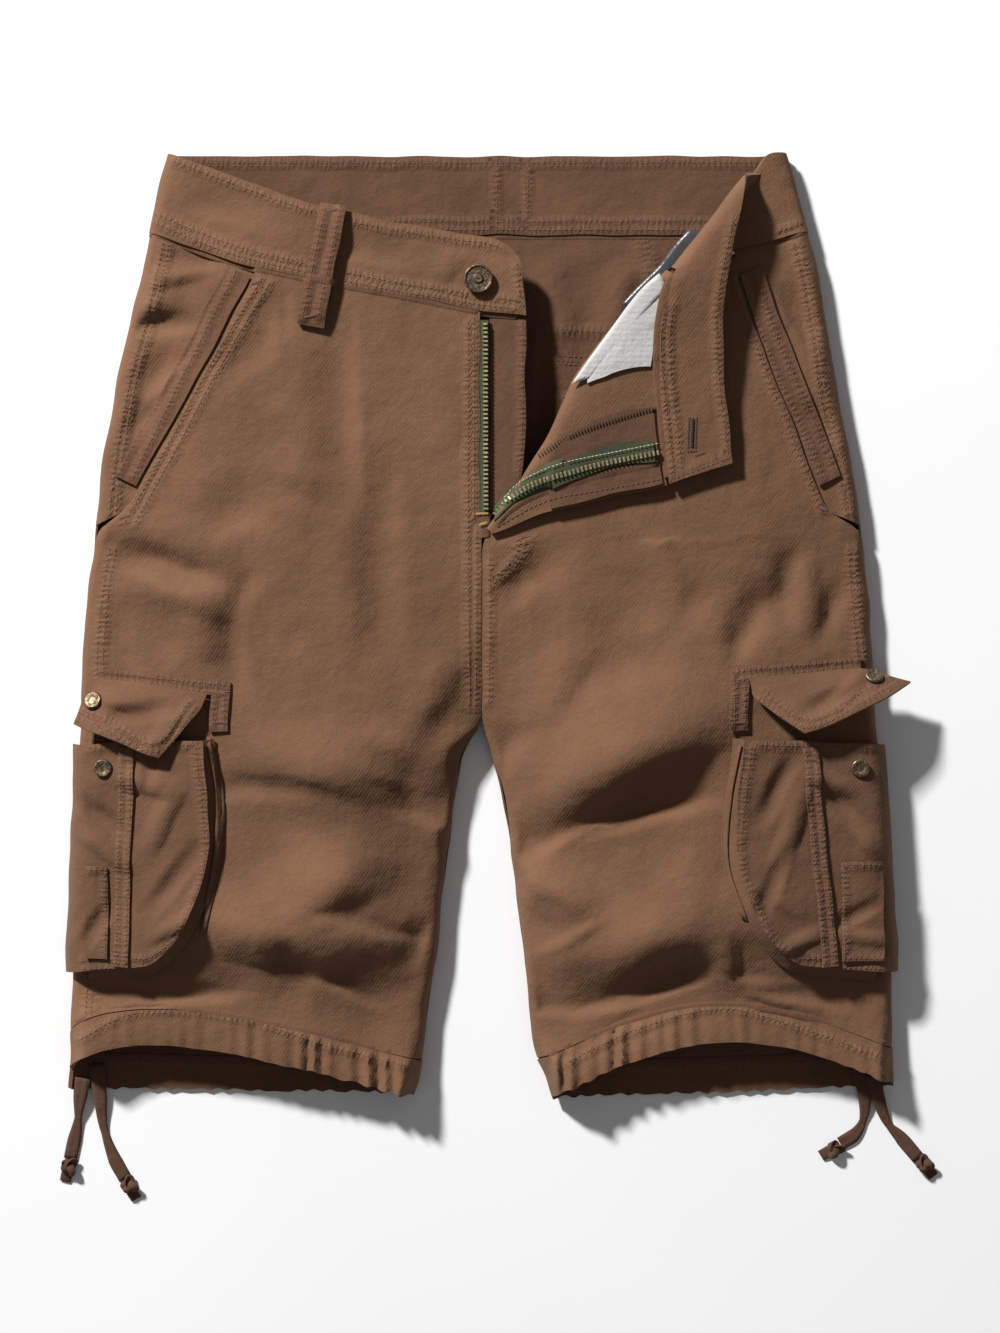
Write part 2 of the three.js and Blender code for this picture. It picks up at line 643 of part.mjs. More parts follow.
function hemFront(side) {
  const [columns, rows] = [18, 2];
  const foot = FRONT_ROWS[side][FRONT_ROWS[side].length - 1];
  const at = (column, row) => {
    const drop = row / rows * HEM_HEIGHT + 2 * SEAM_GAP;
    const lowered = { outer: foot.outer - drop, inner: foot.inner - drop, arch: foot.arch };
    const [outX, inX] = [outerEnd(side, lowered.outer), innerEnd(side, lowered.inner)];
    const distance = crossing(columns, outX - inX, true, true)[column];
    return frontPoint(side, lowered, distance, outX, inX);
  };
  return gridCloth(`hem_front_${side}`, BROWN, DOUBLE_CLOTH, columns, rows, at);
}

function hemBack(side) {
  const [columns, rows] = [11, 1];
  const top = BACK_ROWS[BACK_ROWS.length - 1];
  const at = (column, row) => {
    const outerY = row ? BACK_HEM[side].outer : top.outer - 2 * SEAM_GAP;
    const innerY = row ? BACK_HEM[side].inner : top.inner - 2 * SEAM_GAP;
    const [outX, inX] = [outerEnd(side, outerY), innerEnd(side, innerY)];
    const distance = crossing(columns, outX - inX, true, true)[column];
    const x = signOf(side) * (outX - distance);
    const y = lerp(outerY, innerY, distance / (outX - inX));
    return new THREE.Vector3(x, y, backHeight(x, y, DOUBLE_CLOTH));
  };
  return gridCloth(`hem_back_${side}`, BROWN_INSIDE, DOUBLE_CLOTH, columns, rows, at);
}

// Strip of cloth that lies on the front with a clearance under it
function strip(name, look, wall, rows, ends, lift) {
  const columns = 2;
  const at = (column, row) => {
    const share = row / rows;
    const [centreX, centreY] = [lerp(ends.topX, ends.footX, share), lerp(ends.topY, ends.footY, share)];
    const length = Math.hypot(ends.footX - ends.topX, ends.footY - ends.topY);
    const across = (column / columns - 0.5) * ends.width;
    const x = centreX - (across * (ends.footY - ends.topY)) / length;
    const y = centreY + (across * (ends.footX - ends.topX)) / length;
    return new THREE.Vector3(x, y, lift(x, y, share));
  };
  return gridCloth(name, look, wall, columns, rows, at);
}

function beltLoop() {
  const lift = (x, y, share) => {
    const stand = LOOP.stand * Math.sin(Math.PI * share) ** 0.5;
    return frontHeight(x, y) + DOUBLE_CLOTH / 2 + LOOP.start + stand;
  };
  return strip('belt_loop', BROWN_TRIM, DOUBLE_CLOTH, 9, LOOP, lift);
}

function flyShield() {
  const [columns, rows] = [3, 9];
  const at = (column, row) => {
    const y = lerp(SHIELD.topY, SHIELD.footY, row / rows);
    const narrow = smooth((row / rows - SHIELD.narrowFrom) / (1 - SHIELD.narrowFrom)) * SHIELD.narrowBy;
    const x = lerp(SHIELD.startX, SHIELD.endX - narrow, column / columns);
    return new THREE.Vector3(x, y, frontHeight(-1, y) - SHIELD.drop);
  };
  return gridCloth('fly_shield', BROWN_INSIDE, CLOTH, columns, rows, at);
}

function zipTapeRight() {
  const [columns, rows] = [1, 9];
  const at = (column, row) => {
    const y = lerp(ZIP_RIGHT.topY, ZIP_RIGHT.footY, row / rows);
    const x = column ? ZIP_RIGHT.endX : ZIP_RIGHT.startX;
    return new THREE.Vector3(x, y, frontHeight(-1, y) + (column ? ZIP_RIGHT.tilt : 0));
  };
  return gridCloth('zip_tape_right', OLIVE_TAPE, THIN_CLOTH, columns, rows, at);
}

// A piece that lies on the turned corner, between two shares of the way to the edge of the fly
function onTurned(name, look, columns, rows, lift) {
  const piece = ON_TURNED[name];
  const at = (column, row) => {
    const down = row / rows;
    const y = lerp(piece.topY, piece.footY, down);
    const from = lerp(piece.topFrom, piece.footFrom, down);
    const to = lerp(piece.topTo, piece.footTo, down);
    return turnedPoint(y, lerp(from, to, column / columns), lift);
  };
  return gridCloth(name, look, THIN_CLOTH, columns, rows, at);
}

function piecesOnTurned() {
  return [
    onTurned('fly_facing', BROWN_INSIDE, 4, 8, FACING_LIFT),
    onTurned('zip_tape_left', OLIVE_TAPE, 2, 8, FACING_LIFT + CLOTH + CURVE_SPARE),
    onTurned('pocket_bag', BAG_CLOTH, 4, 6, FACING_LIFT),
  ];
}

// Height of the cargo pocket's body, which stands off the leg and turns down at the side
function cargoHeight(side, out, y) {
  const edge = read(SIDE_LINE, 'y', y, side) + POCKET_OVERHANG;
  const inner = Math.min(out, edge - POCKET_ROLL - POCKET_OVERHANG);
  const top = frontHeight(signOf(side) * inner, y) + POCKET_DEPTH;
  const foot = SEAM_HEIGHT + POCKET_FOOT_STAND;
  return foot + (top - foot) * edgeRoll(edge - out, POCKET_ROLL);
}

function cargoPlace(side, across, down, columns) {
  const [frontY, sideY] = [
    lerp(CARGO_TOP.front, CARGO_FOOT.front, down), lerp(CARGO_TOP.side, CARGO_FOOT.side, down),
  ];
  const outX = read(SIDE_LINE, 'y', sideY, side) + POCKET_OVERHANG;
  const inX = read(CARGO_EDGE, 'y', frontY, side);
  const distance = crossing(columns, outX - inX, true, false, POCKET_ROLL)[across];
  return { out: outX - distance, y: lerp(sideY, frontY, distance / (outX - inX)) };
}

function cargoBody(side) {
  const [columns, rows] = [9, 11];
  const at = (column, row) => {
    const { out, y } = cargoPlace(side, column, row / rows, columns);
    return new THREE.Vector3(signOf(side) * out, y, cargoHeight(side, out, y));
  };
  return gridCloth(`cargo_body_${side}`, BROWN, CLOTH, columns, rows, at);
}

// Gusset: from the leg up to the body, along the front edge and the foot of the pocket
function cargoGusset(side) {
  const [columns, rows] = [9, 11];
  const { spread, tuck, sideColumns } = GUSSET;
  const path = [];
  for (let row = 0; row <= rows; row += 1) {
    path.push(cargoPlace(side, columns, row / rows, columns));
  }
  for (let column = columns - 1; column > sideColumns; column -= 1) {
    path.push(cargoPlace(side, column, 1, columns));
  }
  const at = (place, level) => {
    const [before, after] = [path[Math.max(0, place - 1)], path[Math.min(path.length - 1, place + 1)]];
    const along = new THREE.Vector2(after.out - before.out, after.y - before.y).normalize();
    const shift = lerp(-tuck, spread, level);
    const out = path[place].out + along.y * shift;
    const y = path[place].y - along.x * shift;
    const high = cargoHeight(side, out, y) - CLOTH - LAYER_GAP - CURVE_SPARE;
    const low = frontHeight(signOf(side) * out, y) + CLOTH + LAYER_GAP + FOLD_SPARE;
    return new THREE.Vector3(signOf(side) * out, y, lerp(high, low, level));
  };
  return gridCloth(`cargo_gusset_${side}`, BROWN_TRIM, CLOTH, path.length - 1, 1, at);
}

function cargoStrap(side) {
  const sign = signOf(side);
  const [topX, footX] = [sign * STRAP[side].topX, sign * STRAP[side].footX];
  const [topY, footY] = [CARGO_TOP.side - STRAP_INSET.top, CARGO_FOOT.front - STRAP_INSET.foot];
  const lift = (x, y) => cargoHeight(side, Math.abs(x), y) + CLOTH + LAYER_GAP + CURVE_SPARE;
  const placed = { topX, topY, footX, footY, width: STRAP_WIDTH };
  return strip(`cargo_strap_${side}`, BROWN_TRIM, CLOTH, 11, placed, lift);
}

function cargoPatch(side) {
  const [columns, rows] = [4, 5];
  const patch = PATCH[side];
  const at = (column, row) => {
    const out = lerp(patch.outerX, patch.innerX, column / columns);
    const y = lerp(patch.topY, patch.footY, row / rows);
    const belly = PATCH_BELLY * Math.sin((Math.PI * column) / columns) * (1 - row / rows);
    const high = cargoHeight(side, out, y) + CLOTH + LAYER_GAP + CURVE_SPARE + belly;
    return new THREE.Vector3(signOf(side) * out, y, high);
  };
  return gridCloth(`cargo_patch_${side}`, BROWN, CLOTH, columns, rows, at);
}

// Band in the shape of an L that holds the pocket flap to the leg
function flapTape(side) {
  const [columns, rows] = [8, 4];
  const tape = TAPE[side];
  const at = (column, row) => {
    const along = (column - 1) / (columns - 1);
    const out = column ? lerp(tape.innerX + TAPE_LEG, tape.outerX, along) : tape.innerX;
    const outward = clamp01((out - tape.innerX) / (tape.outerX - tape.innerX));
    const topY = lerp(tape.innerY, tape.outerY, outward);
    const y = row ? lerp(topY - TAPE_WIDTH, tape.legFoot, (row - 1) / (rows - 1)) : topY;
    const x = signOf(side) * out;
    return new THREE.Vector3(x, y, frontHeight(x, y) + CLOTH + LAYER_GAP + FOLD_SPARE);
  };
  const keep = (column, row) => column === 0 || row === 0;
  return gridCloth(`flap_tape_${side}`, BROWN_TRIM, CLOTH, columns, rows, at, keep);
}

// A place on a pocket flap, from its upper line at down 0 to its pointed lower edge at down 1
function flapPlace(side, across, down) {
  const [inner, outer] = FLAP_UPPER[side];
  const low = (column) => read(FLAP_LOWER[side], 'share', across, column);
  const high = (column) => lerp(inner[column], outer[column], across);
  const out = lerp(high('x'), low('x'), down);
  const y = lerp(high('y'), low('y'), down);
  const sewn = frontHeight(signOf(side) * high('x'), high('y')) + FLAP_STAND;
  return new THREE.Vector3(signOf(side) * out, y, lerp(sewn, low('z'), down ** FLAP_CURVE));
}

function cargoFlap(side) {
  const [columns, rows] = [9, 4];
  const at = (column, row) => flapPlace(side, 1 - column / columns, row / rows);
  return gridCloth(`cargo_flap_${side}`, BROWN, FLAP_WALL, columns, rows, at);
}

// Round metal part: a turned profile set on the cloth, square to it
function turned(name, profile, place, normal) {
  const points = profile.map(([radius, height]) => new THREE.Vector2(radius, height));
  const geometry = new THREE.LatheGeometry(points, ROUND_SIDES);
  const turn = new THREE.Quaternion().setFromUnitVectors(new THREE.Vector3(0, 1, 0), normal);
  geometry.applyQuaternion(turn);
  geometry.translate(place.x, place.y, place.z);
  geometry.deleteAttribute('uv');
  geometry.deleteAttribute('normal');
  const mesh = new THREE.Mesh(geometry, new THREE.MeshStandardMaterial(ANTIQUE_BRASS));
  mesh.name = name;
  return mesh;
}

const slopeNormal = (height, x, y) => new THREE.Vector3(
  height(x - PROBE, y) - height(x + PROBE, y),
  height(x, y - PROBE) - height(x, y + PROBE),
  2 * PROBE,
).normalize();

function button() {
  const { x, y, radius, height, boss, shank, edge, rim, dish } = BUTTON;
  const profile = [
    [0, 0], [shank, 0], [shank, edge / 2], [radius, edge], [radius, height - rim / 2],
    [radius - rim, height], [radius - 2 * rim, height - dish], [boss, height - dish],
    [boss - rim / 2, height], [0, height],
  ];
  const normal = slopeNormal(frontHeight, x, y);
  const above = DOUBLE_CLOTH / 2 + BUTTON_CLEAR;
  const place = new THREE.Vector3(x, y, frontHeight(x, y)).addScaledVector(normal, above);
  return turned('button', profile, place, normal);
}

function snapProfile() {
  const { radius, height, boss, rim, dish, edge } = SNAP;
  return [
    [0, 0], [radius, 0], [radius, edge], [radius - rim, height],
    [boss, height - dish / 2], [boss - rim, height - dish], [0, height - dish],
  ];
}

function snapCap(side) {
  const { across, down } = SNAP_CAP;
  const nudge = 0.05;
  const place = flapPlace(side, across, down);
  const aside = flapPlace(side, across + nudge, down).sub(place);
  const lower = flapPlace(side, across, down + nudge).sub(place);
  const normal = aside.cross(lower).normalize();
  if (normal.z < 0) normal.negate();
  return turned(`snap_cap_${side}`, snapProfile(), place.addScaledVector(normal, SNAP.stand), normal);
}

function snapStud(side) {
  const [x, y] = [signOf(side) * SNAP_STUD.out, SNAP_STUD.y];
  const height = (atX, atY) => cargoHeight(side, Math.abs(atX), atY);
  const normal = slopeNormal(height, x, y);
  const above = CLOTH / 2 + LAYER_GAP + CURVE_SPARE;
  const place = new THREE.Vector3(x, y, height(x, y)).addScaledVector(normal, above);
  return turned(`snap_stud_${side}`, snapProfile(), place, normal);
}

function drawcord(name, route) {
  const path = new THREE.CatmullRomCurve3(route.map((point) => new THREE.Vector3(...point)));
  const sides = Array.from({ length: CORD_SIDES }, (_, side) => {
    const turn = (2 * Math.PI * (side + 0.5)) / CORD_SIDES;
    return new THREE.Vector2((CORD_THICKNESS / 2) * Math.cos(turn), (CORD_WIDTH / 2) * Math.sin(turn));
  });
  const steps = Math.round(path.getLength() / CORD_STEP);
  const geometry = new THREE.ExtrudeGeometry(new THREE.Shape(sides), { steps, extrudePath: path });
  geometry.deleteAttribute('uv');
  const mesh = new THREE.Mesh(geometry, new THREE.MeshStandardMaterial(CORD_CLOTH));
  mesh.name = name;
  return mesh;
}

function cordKnot(name, route) {
  const [before, end] = route.slice(-2).map((point) => new THREE.Vector3(...point));
  const direction = end.clone().sub(before).setZ(0).normalize();
  const geometry = new THREE.IcosahedronGeometry(1, 1);
  geometry.deleteAttribute('uv');
  geometry.scale(KNOT.length, KNOT.width, KNOT.height);
  geometry.rotateZ(Math.atan2(direction.y, direction.x));
  const place = end.addScaledVector(direction, KNOT.length + KNOT.gap);
  geometry.translate(place.x, place.y, KNOT.height + KNOT.stand);
  const mesh = new THREE.Mesh(geometry, new THREE.MeshStandardMaterial(CORD_CLOTH));
  mesh.name = name;
  return mesh;
}

function pairs(make) {
  return ['right', 'left'].map(make);
}

const pieces = [
  frontRight(), frontLeft(), ...pairs(back), ...pairs(sideFacing), ...pairs(pocketWelt),
  waistbandBack(), waistbandRight(), waistbandLeft(), beltLoop(), button(),
  flyShield(), zipTapeRight(), ...piecesOnTurned(),
  ...pairs(hemFront), ...pairs(hemBack),
  ...pairs(cargoBody), ...pairs(cargoGusset), ...pairs(cargoStrap), ...pairs(cargoPatch),
  ...pairs(flapTape), ...pairs(cargoFlap), ...pairs(snapCap), ...pairs(snapStud),
];
const cords = Object.entries(CORDS).flatMap(([name, route]) => [
  drawcord(name, route), cordKnot(name.replace('drawcord', 'cord_knot'), route),
]);

// The garment's box, without its cords, is centred on the origin and rests on z = 0
const box = new THREE.Box3();
for (const piece of pieces) box.expandByObject(piece);
const shorts = new THREE.Group();
shorts.name = 'cargo_shorts';
for (const piece of [...pieces, ...cords]) {
  piece.geometry.translate(-(box.min.x + box.max.x) / 2, -(box.min.y + box.max.y) / 2, -box.min.z);
  shorts.add(piece);
}
export default shorts;
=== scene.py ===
# Cargo shorts laid flat on a pale surface, seen from straight above. Sizes in tables are millimetres.
import json
import math
import random
import bmesh
import bpy
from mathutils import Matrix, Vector, noise
from mathutils.bvhtree import BVHTree
from mathutils.kdtree import KDTree


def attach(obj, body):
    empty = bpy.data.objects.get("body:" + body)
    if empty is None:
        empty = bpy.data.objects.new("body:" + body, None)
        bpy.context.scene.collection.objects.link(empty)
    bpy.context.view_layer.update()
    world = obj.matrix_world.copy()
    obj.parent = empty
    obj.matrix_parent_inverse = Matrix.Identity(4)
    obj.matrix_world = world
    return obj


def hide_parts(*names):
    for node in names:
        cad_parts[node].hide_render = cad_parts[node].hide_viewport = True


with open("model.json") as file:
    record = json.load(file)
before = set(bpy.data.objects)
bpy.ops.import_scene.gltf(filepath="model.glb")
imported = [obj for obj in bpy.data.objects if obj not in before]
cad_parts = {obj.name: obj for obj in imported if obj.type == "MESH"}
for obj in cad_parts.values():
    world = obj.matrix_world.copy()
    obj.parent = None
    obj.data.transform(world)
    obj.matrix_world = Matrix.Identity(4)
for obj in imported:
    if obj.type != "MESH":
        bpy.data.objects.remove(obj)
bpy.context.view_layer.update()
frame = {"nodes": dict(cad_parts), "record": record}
NODES = frame["nodes"]

MM = 0.001
SHIFT_X = -3.1
CAMERA_PLACE = (0.0077, -0.0237, 2.0)
CAMERA_LENS = 90.0
SIDES = ("right", "left")
SIGN = {"right": -1, "left": 1}
dice = random.Random(7)


# Camera
def make_camera():
    data = bpy.data.cameras.new("camera")
    data.lens = CAMERA_LENS
    data.clip_end = 20
    camera = bpy.data.objects.new("camera", data)
    camera.location = CAMERA_PLACE
    bpy.context.scene.collection.objects.link(camera)
    bpy.context.scene.camera = camera


make_camera()


# Materials
PUCKER_PITCH = 0.0036


class Graph:
    """A material's node tree, with short ways to add and join nodes."""

    def __init__(self, name):
        self.material = bpy.data.materials.new(name)
        self.material.use_nodes = True
        self.tree = self.material.node_tree
        self.shader = self.tree.nodes["Principled BSDF"]
        self.place = self.add("ShaderNodeTexCoord").outputs["Object"]

    def add(self, kind, **settings):
        node = self.tree.nodes.new(kind)
        for key, value in settings.items():
            if key in node.inputs:
                node.inputs[key].default_value = value
            else:
                setattr(node, key, value)
        return node

    def join(self, output, target):
        self.tree.links.new(output, target)

    def noise(self, scale, detail=4.0, roughness=0.6, stretch=None, turn=0.0):
        node = self.add("ShaderNodeTexNoise", Scale=scale, Detail=detail, Roughness=roughness)
        self.join(self.mapped(stretch, turn) if stretch else self.place, node.inputs["Vector"])
        return node.outputs["Fac"]

    def mapped(self, stretch, turn=0.0):
        node = self.add("ShaderNodeMapping", Scale=stretch, Rotation=(0, 0, turn))
        self.join(self.place, node.inputs["Vector"])
        return node.outputs["Vector"]

    def twill(self, threads_per_metre, turn):
        node = self.add("ShaderNodeTexWave", Scale=threads_per_metre / 20, Distortion=0.6, Detail=1.0)
        self.join(self.mapped((math.pi, math.pi, math.pi), turn), node.inputs["Vector"])
        return node.outputs["Fac"]

    def attribute(self, name):
        return self.add("ShaderNodeAttribute", attribute_name=name).outputs["Fac"]

    def math(self, operation, first, second):
        node = self.add("ShaderNodeMath", operation=operation)
        for socket, value in zip(node.inputs, (first, second)):
            if isinstance(value, (int, float)):
                socket.default_value = value
            else:
                self.join(value, socket)
        return node.outputs["Value"]

    def ramp(self, value, low, high, out_low, out_high):
        node = self.add("ShaderNodeMapRange")
        for socket, number in zip(node.inputs[1:5], (low, high, out_low, out_high)):
            socket.default_value = number
        self.join(value, node.inputs[0])
        return node.outputs["Result"]

    def mix(self, share, first, second, blend="MIX"):
        node = self.add("ShaderNodeMix", data_type="RGBA", blend_type=blend)
        sockets = [node.inputs[0], node.inputs[6], node.inputs[7]]
        for socket, value in zip(sockets, (share, first, second)):
            if isinstance(value, (tuple, float)):
                socket.default_value = value
            else:
                self.join(value, socket)
        return node.outputs[2]

    def bump(self, heights):
        """heights: pairs of a value and its depth in millimetres."""
        normal = None
        for value, depth in heights:
            node = self.add("ShaderNodeBump", Distance=depth * MM, Strength=1.0)
            self.join(value, node.inputs["Height"])
            if normal is not None:
                self.join(normal, node.inputs["Normal"])
            normal = node.outputs["Normal"]
        self.join(normal, self.shader.inputs["Normal"])


def cotton(name, colour, worn, turn=0.6, rib=False):
    graph = Graph(name)
    dark = tuple(0.78 * part for part in colour) + (1,)
    blotches = graph.ramp(graph.noise(22, 3, 0.5), 0.35, 0.68, 0.0, 1.0)
    base = graph.mix(blotches, dark, colour + (1,))
    streaks = graph.ramp(graph.noise(1.0, 5, 0.7, (260, 900, 400), 0.2), 0.35, 0.7, 0.0, 0.35)
    base = graph.mix(streaks, base, tuple(1.25 * part for part in colour) + (1,))
    heather = graph.ramp(graph.noise(2400, 2, 0.6), 0.3, 0.7, 0.82, 1.12)
    mottled = graph.add("ShaderNodeHueSaturation")
    graph.join(heather, mottled.inputs["Value"])
    graph.join(base, mottled.inputs["Color"])
    seam = graph.attribute("seam")
    wear = graph.math("MULTIPLY", seam, graph.ramp(graph.noise(420, 4, 0.65), 0.46, 0.7, 0.0, 0.55))
    graph.join(graph.mix(wear, mottled.outputs["Color"], worn + (1,)), graph.shader.inputs["Base Color"])
    graph.join(graph.ramp(graph.noise(60, 3), 0.3, 0.7, 0.86, 0.98), graph.shader.inputs["Roughness"])
    graph.shader.inputs["Sheen Weight"].default_value = 0.05
    graph.shader.inputs["Sheen Roughness"].default_value = 0.6
    graph.shader.inputs["Specular IOR Level"].default_value = 0.15
    weave = graph.twill(620 if rib else 1150, math.pi / 2 if rib else turn)
    fuzz = graph.noise(1500, 3, 0.7)
    crumple = graph.noise(70, 5, 0.55)
    phase = graph.math("MULTIPLY", graph.attribute("run"), 2 * math.pi / PUCKER_PITCH)
    uneven = graph.math("MULTIPLY", graph.noise(150, 2, 0.5), 9.0)
    wave = graph.math("SINE", graph.math("ADD", phase, uneven), 0.0)
    pucker = graph.math("MULTIPLY", graph.attribute("pucker"), graph.ramp(wave, -1, 1, 0, 1))
    graph.bump([(crumple, 1.6), (seam, 0.7), (pucker, 0.34), (weave, 0.05), (fuzz, 0.1)])
    return graph.material


def thread(name, colour):
    graph = Graph(name)
    shade = graph.ramp(graph.noise(900, 3), 0.3, 0.7, 0.0, 1.0)
    graph.join(graph.mix(shade, colour + (1,), tuple(1.5 * part for part in colour) + (1,)),
               graph.shader.inputs["Base Color"])
    graph.join(graph.ramp(graph.noise(400, 2), 0.3, 0.7, 0.7, 0.9), graph.shader.inputs["Roughness"])
    graph.bump([(graph.twill(2600, 0.9), 0.08)])
    return graph.material


def brass(name, colour, bright, roughness, metallic=0.85):
    graph = Graph(name)
    rub = graph.ramp(graph.noise(700, 4, 0.6), 0.45, 0.68, 0.0, 1.0)
    graph.join(graph.mix(rub, colour + (1,), bright + (1,)), graph.shader.inputs["Base Color"])
    graph.join(graph.ramp(graph.noise(900, 3), 0.3, 0.7, roughness, roughness + 0.25),
               graph.shader.inputs["Roughness"])
    graph.shader.inputs["Metallic"].default_value = metallic
    graph.bump([(graph.noise(1300, 3), 0.05)])
    return graph.material


# A glossy cloth, used only for the pocket bag's turned side, whose near-black colour is painted shade.
def satin(name, colour):
    graph = Graph(name)
    tone = graph.ramp(graph.noise(300, 3), 0.3, 0.7, 0.0, 1.0)
    graph.join(graph.mix(tone, colour + (1,), tuple(1.2 * part for part in colour) + (1,)),
               graph.shader.inputs["Base Color"])
    graph.join(graph.ramp(graph.noise(200, 2), 0.3, 0.7, 0.25, 0.4), graph.shader.inputs["Roughness"])
    graph.bump([(graph.twill(1600, 0.3), 0.02), (graph.noise(160, 3), 0.4)])
    return graph.material


LOOKS = {
    "brown_cotton": cotton("brown_cotton", (0.17, 0.085, 0.0455), (0.23, 0.125, 0.075)),
    "brown_pocket": cotton("brown_pocket", (0.142, 0.07, 0.038), (0.22, 0.118, 0.07)),
    "brown_inside": cotton("brown_inside", (0.126, 0.062, 0.034), (0.17, 0.095, 0.06), turn=-0.6),
    "brown_trim": cotton("brown_trim", (0.146, 0.07, 0.039), (0.2, 0.108, 0.068), turn=0.2),
    "olive_zip_tape": cotton("olive_zip_tape", (0.06, 0.07, 0.036), (0.1, 0.105, 0.07), turn=0.0),
    "grey_pocket_bag": cotton("grey_pocket_bag", (0.54, 0.525, 0.505), (0.6, 0.58, 0.55), rib=True),
    "cord_cotton": cotton("cord_cotton", (0.1, 0.048, 0.03), (0.17, 0.1, 0.07), turn=0.1),
    "antique_brass": brass("antique_brass", (0.08, 0.056, 0.036), (0.3, 0.22, 0.13), 0.38),
    "teeth_brass": brass("teeth_brass", (0.3, 0.24, 0.13), (0.62, 0.52, 0.33), 0.3, 0.55),
    "brown_thread": thread("brown_thread", (0.105, 0.052, 0.034)),
    "dark_thread": thread("dark_thread", (0.042, 0.022, 0.014)),
    # painted shade: near-black marks in the buttonhole's cut, for the shade inside the opening
    "slit_painted_shade": thread("slit_painted_shade", (0.008, 0.005, 0.004)),
    "pale_thread": thread("pale_thread", (0.5, 0.46, 0.38)),
    "gold_thread": thread("gold_thread", (0.34, 0.22, 0.1)),
    # painted shade: the pocket bag's turned side, coloured near black for the shade it lies in
    "bag_side_painted_shade": satin("bag_side_painted_shade", (0.052, 0.05, 0.054)),
}
SLOT_OF = {part["node"]: part["material_slot"] for part in frame["record"]["subparts"]}


def finish_piece(name, mesh, look):
    made = bpy.data.objects.new(name, mesh)
    bpy.context.scene.collection.objects.link(made)
    made.data.materials.clear()
    made.data.materials.append(LOOKS[look])
    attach(made, "root")
    return made


# Drawcords: the routes on which they lie, in metres in the row's frame
CORD_ROUTES = {
    "right_long": [(-231, -262, 4.8), (-229, -279, 4), (-227, -300, 1.3), (-221, -318, 1), (-214, -331, 1)],
    "right_short": [(-239, -270, 5.6), (-241, -284, 4.2), (-243, -300, 1.3), (-247, -319, 1)],
    "left_short": [(225, -262, 4.8), (229, -279, 4), (229, -294, 1.4), (224, -304, 1), (215, -310, 1)],
    "left_long": [(234, -268, 5.2), (237, -281, 4), (243, -297, 1.3), (251, -306, 1), (262, -319, 1)],
}
CORD_WIDTH = 7
TWIST_WIDTHS = [(1.0, 1.15), (0.8, 1.2), (0.55, 0.62), (0.3, 1.15), (0.0, 1.45)]
KNOT_REACH = 4.2


def table_value(table, at):
    """Reads a table of (key, value) rows that run from the highest key to the lowest."""
    if at >= table[0][0]:
        return table[0][1]
    for (high, first), (low, second) in zip(table, table[1:]):
        if at >= low:
            return first + (second - first) * (high - at) / (high - low)
    return table[-1][1]


def smooth_route(points, steps=6):
    """Points along a smooth line through the given ones."""
    points = [Vector(p) for p in points]
    ends = [2 * points[0] - points[1], *points, 2 * points[-1] - points[-2]]
    route = []
    for index in range(1, len(ends) - 2):
        a, b, c, d = ends[index - 1:index + 3]
        for step in range(steps):
            t = step / steps
            route.append(0.5 * (2 * b + (c - a) * t + (2 * a - 5 * b + 4 * c - d) * t ** 2
                                + (3 * b - a - 3 * c + d) * t ** 3))
    return route + [points[-1]]


def length_of(route):
    return sum((b - a).length for a, b in zip(route, route[1:]))


def tube(shape, centres, across, half_width, half_height, sides=10):
    """A closed tube of elliptic rings along the centres; across gives each ring's wide direction."""
    rings = []
    for centre, wide in zip(centres, across):
        ring = []
        for side in range(sides):
            turn = 2 * math.pi * side / sides
            offset = wide * math.cos(turn) * half_width + Vector((0, 0, math.sin(turn) * half_height))
            ring.append(shape.verts.new(centre + offset))
        rings.append(ring)
    for first, second in zip(rings, rings[1:]):
        for side in range(sides):
            other = (side + 1) % sides
            shape.faces.new((first[side], first[other], second[other], second[side]))
    shape.faces.new(rings[0][::-1])
    shape.faces.new(rings[-1])


def make_knot(name, place, direction):
    """An overhand knot of the flat tape, with a short end that sticks out of it."""
    mesh = bpy.data.meshes.new(name)
    shape = bmesh.new()
    across = Vector((-direction.y, direction.x, 0))
    centres, wide = [], []
    for index in range(61):
        t = 2 * math.pi * index / 60
        along = 1.8 * (math.sin(t) + 1.5 * math.sin(2 * t))
        aside = 1.6 * (math.cos(t) - 1.5 * math.cos(2 * t))
        lift = 3.5 - 1.3 * math.sin(3 * t)
        centres.append(place + (direction * along + across * aside) * MM + Vector((0, 0, lift * MM)))
        wide.append((direction * math.cos(t) + across * math.sin(t)).normalized())
    tube(shape, centres, wide, 2.7 * MM, 1.6 * MM)
    start = place + direction * 2 * MM
    ends = [start + direction * step * 1.1 * MM + Vector((0, 0, (2.4 - 0.22 * step) * MM)) for step in range(8)]
    tube(shape, ends, [across] * len(ends), 3.4 * MM, 0.7 * MM)
    bmesh.ops.recalc_face_normals(shape, faces=shape.faces)
    shape.to_mesh(mesh)
    shape.free()
    for face in mesh.polygons:
        face.use_smooth = True
    return finish_piece(name, mesh, "cord_cotton")


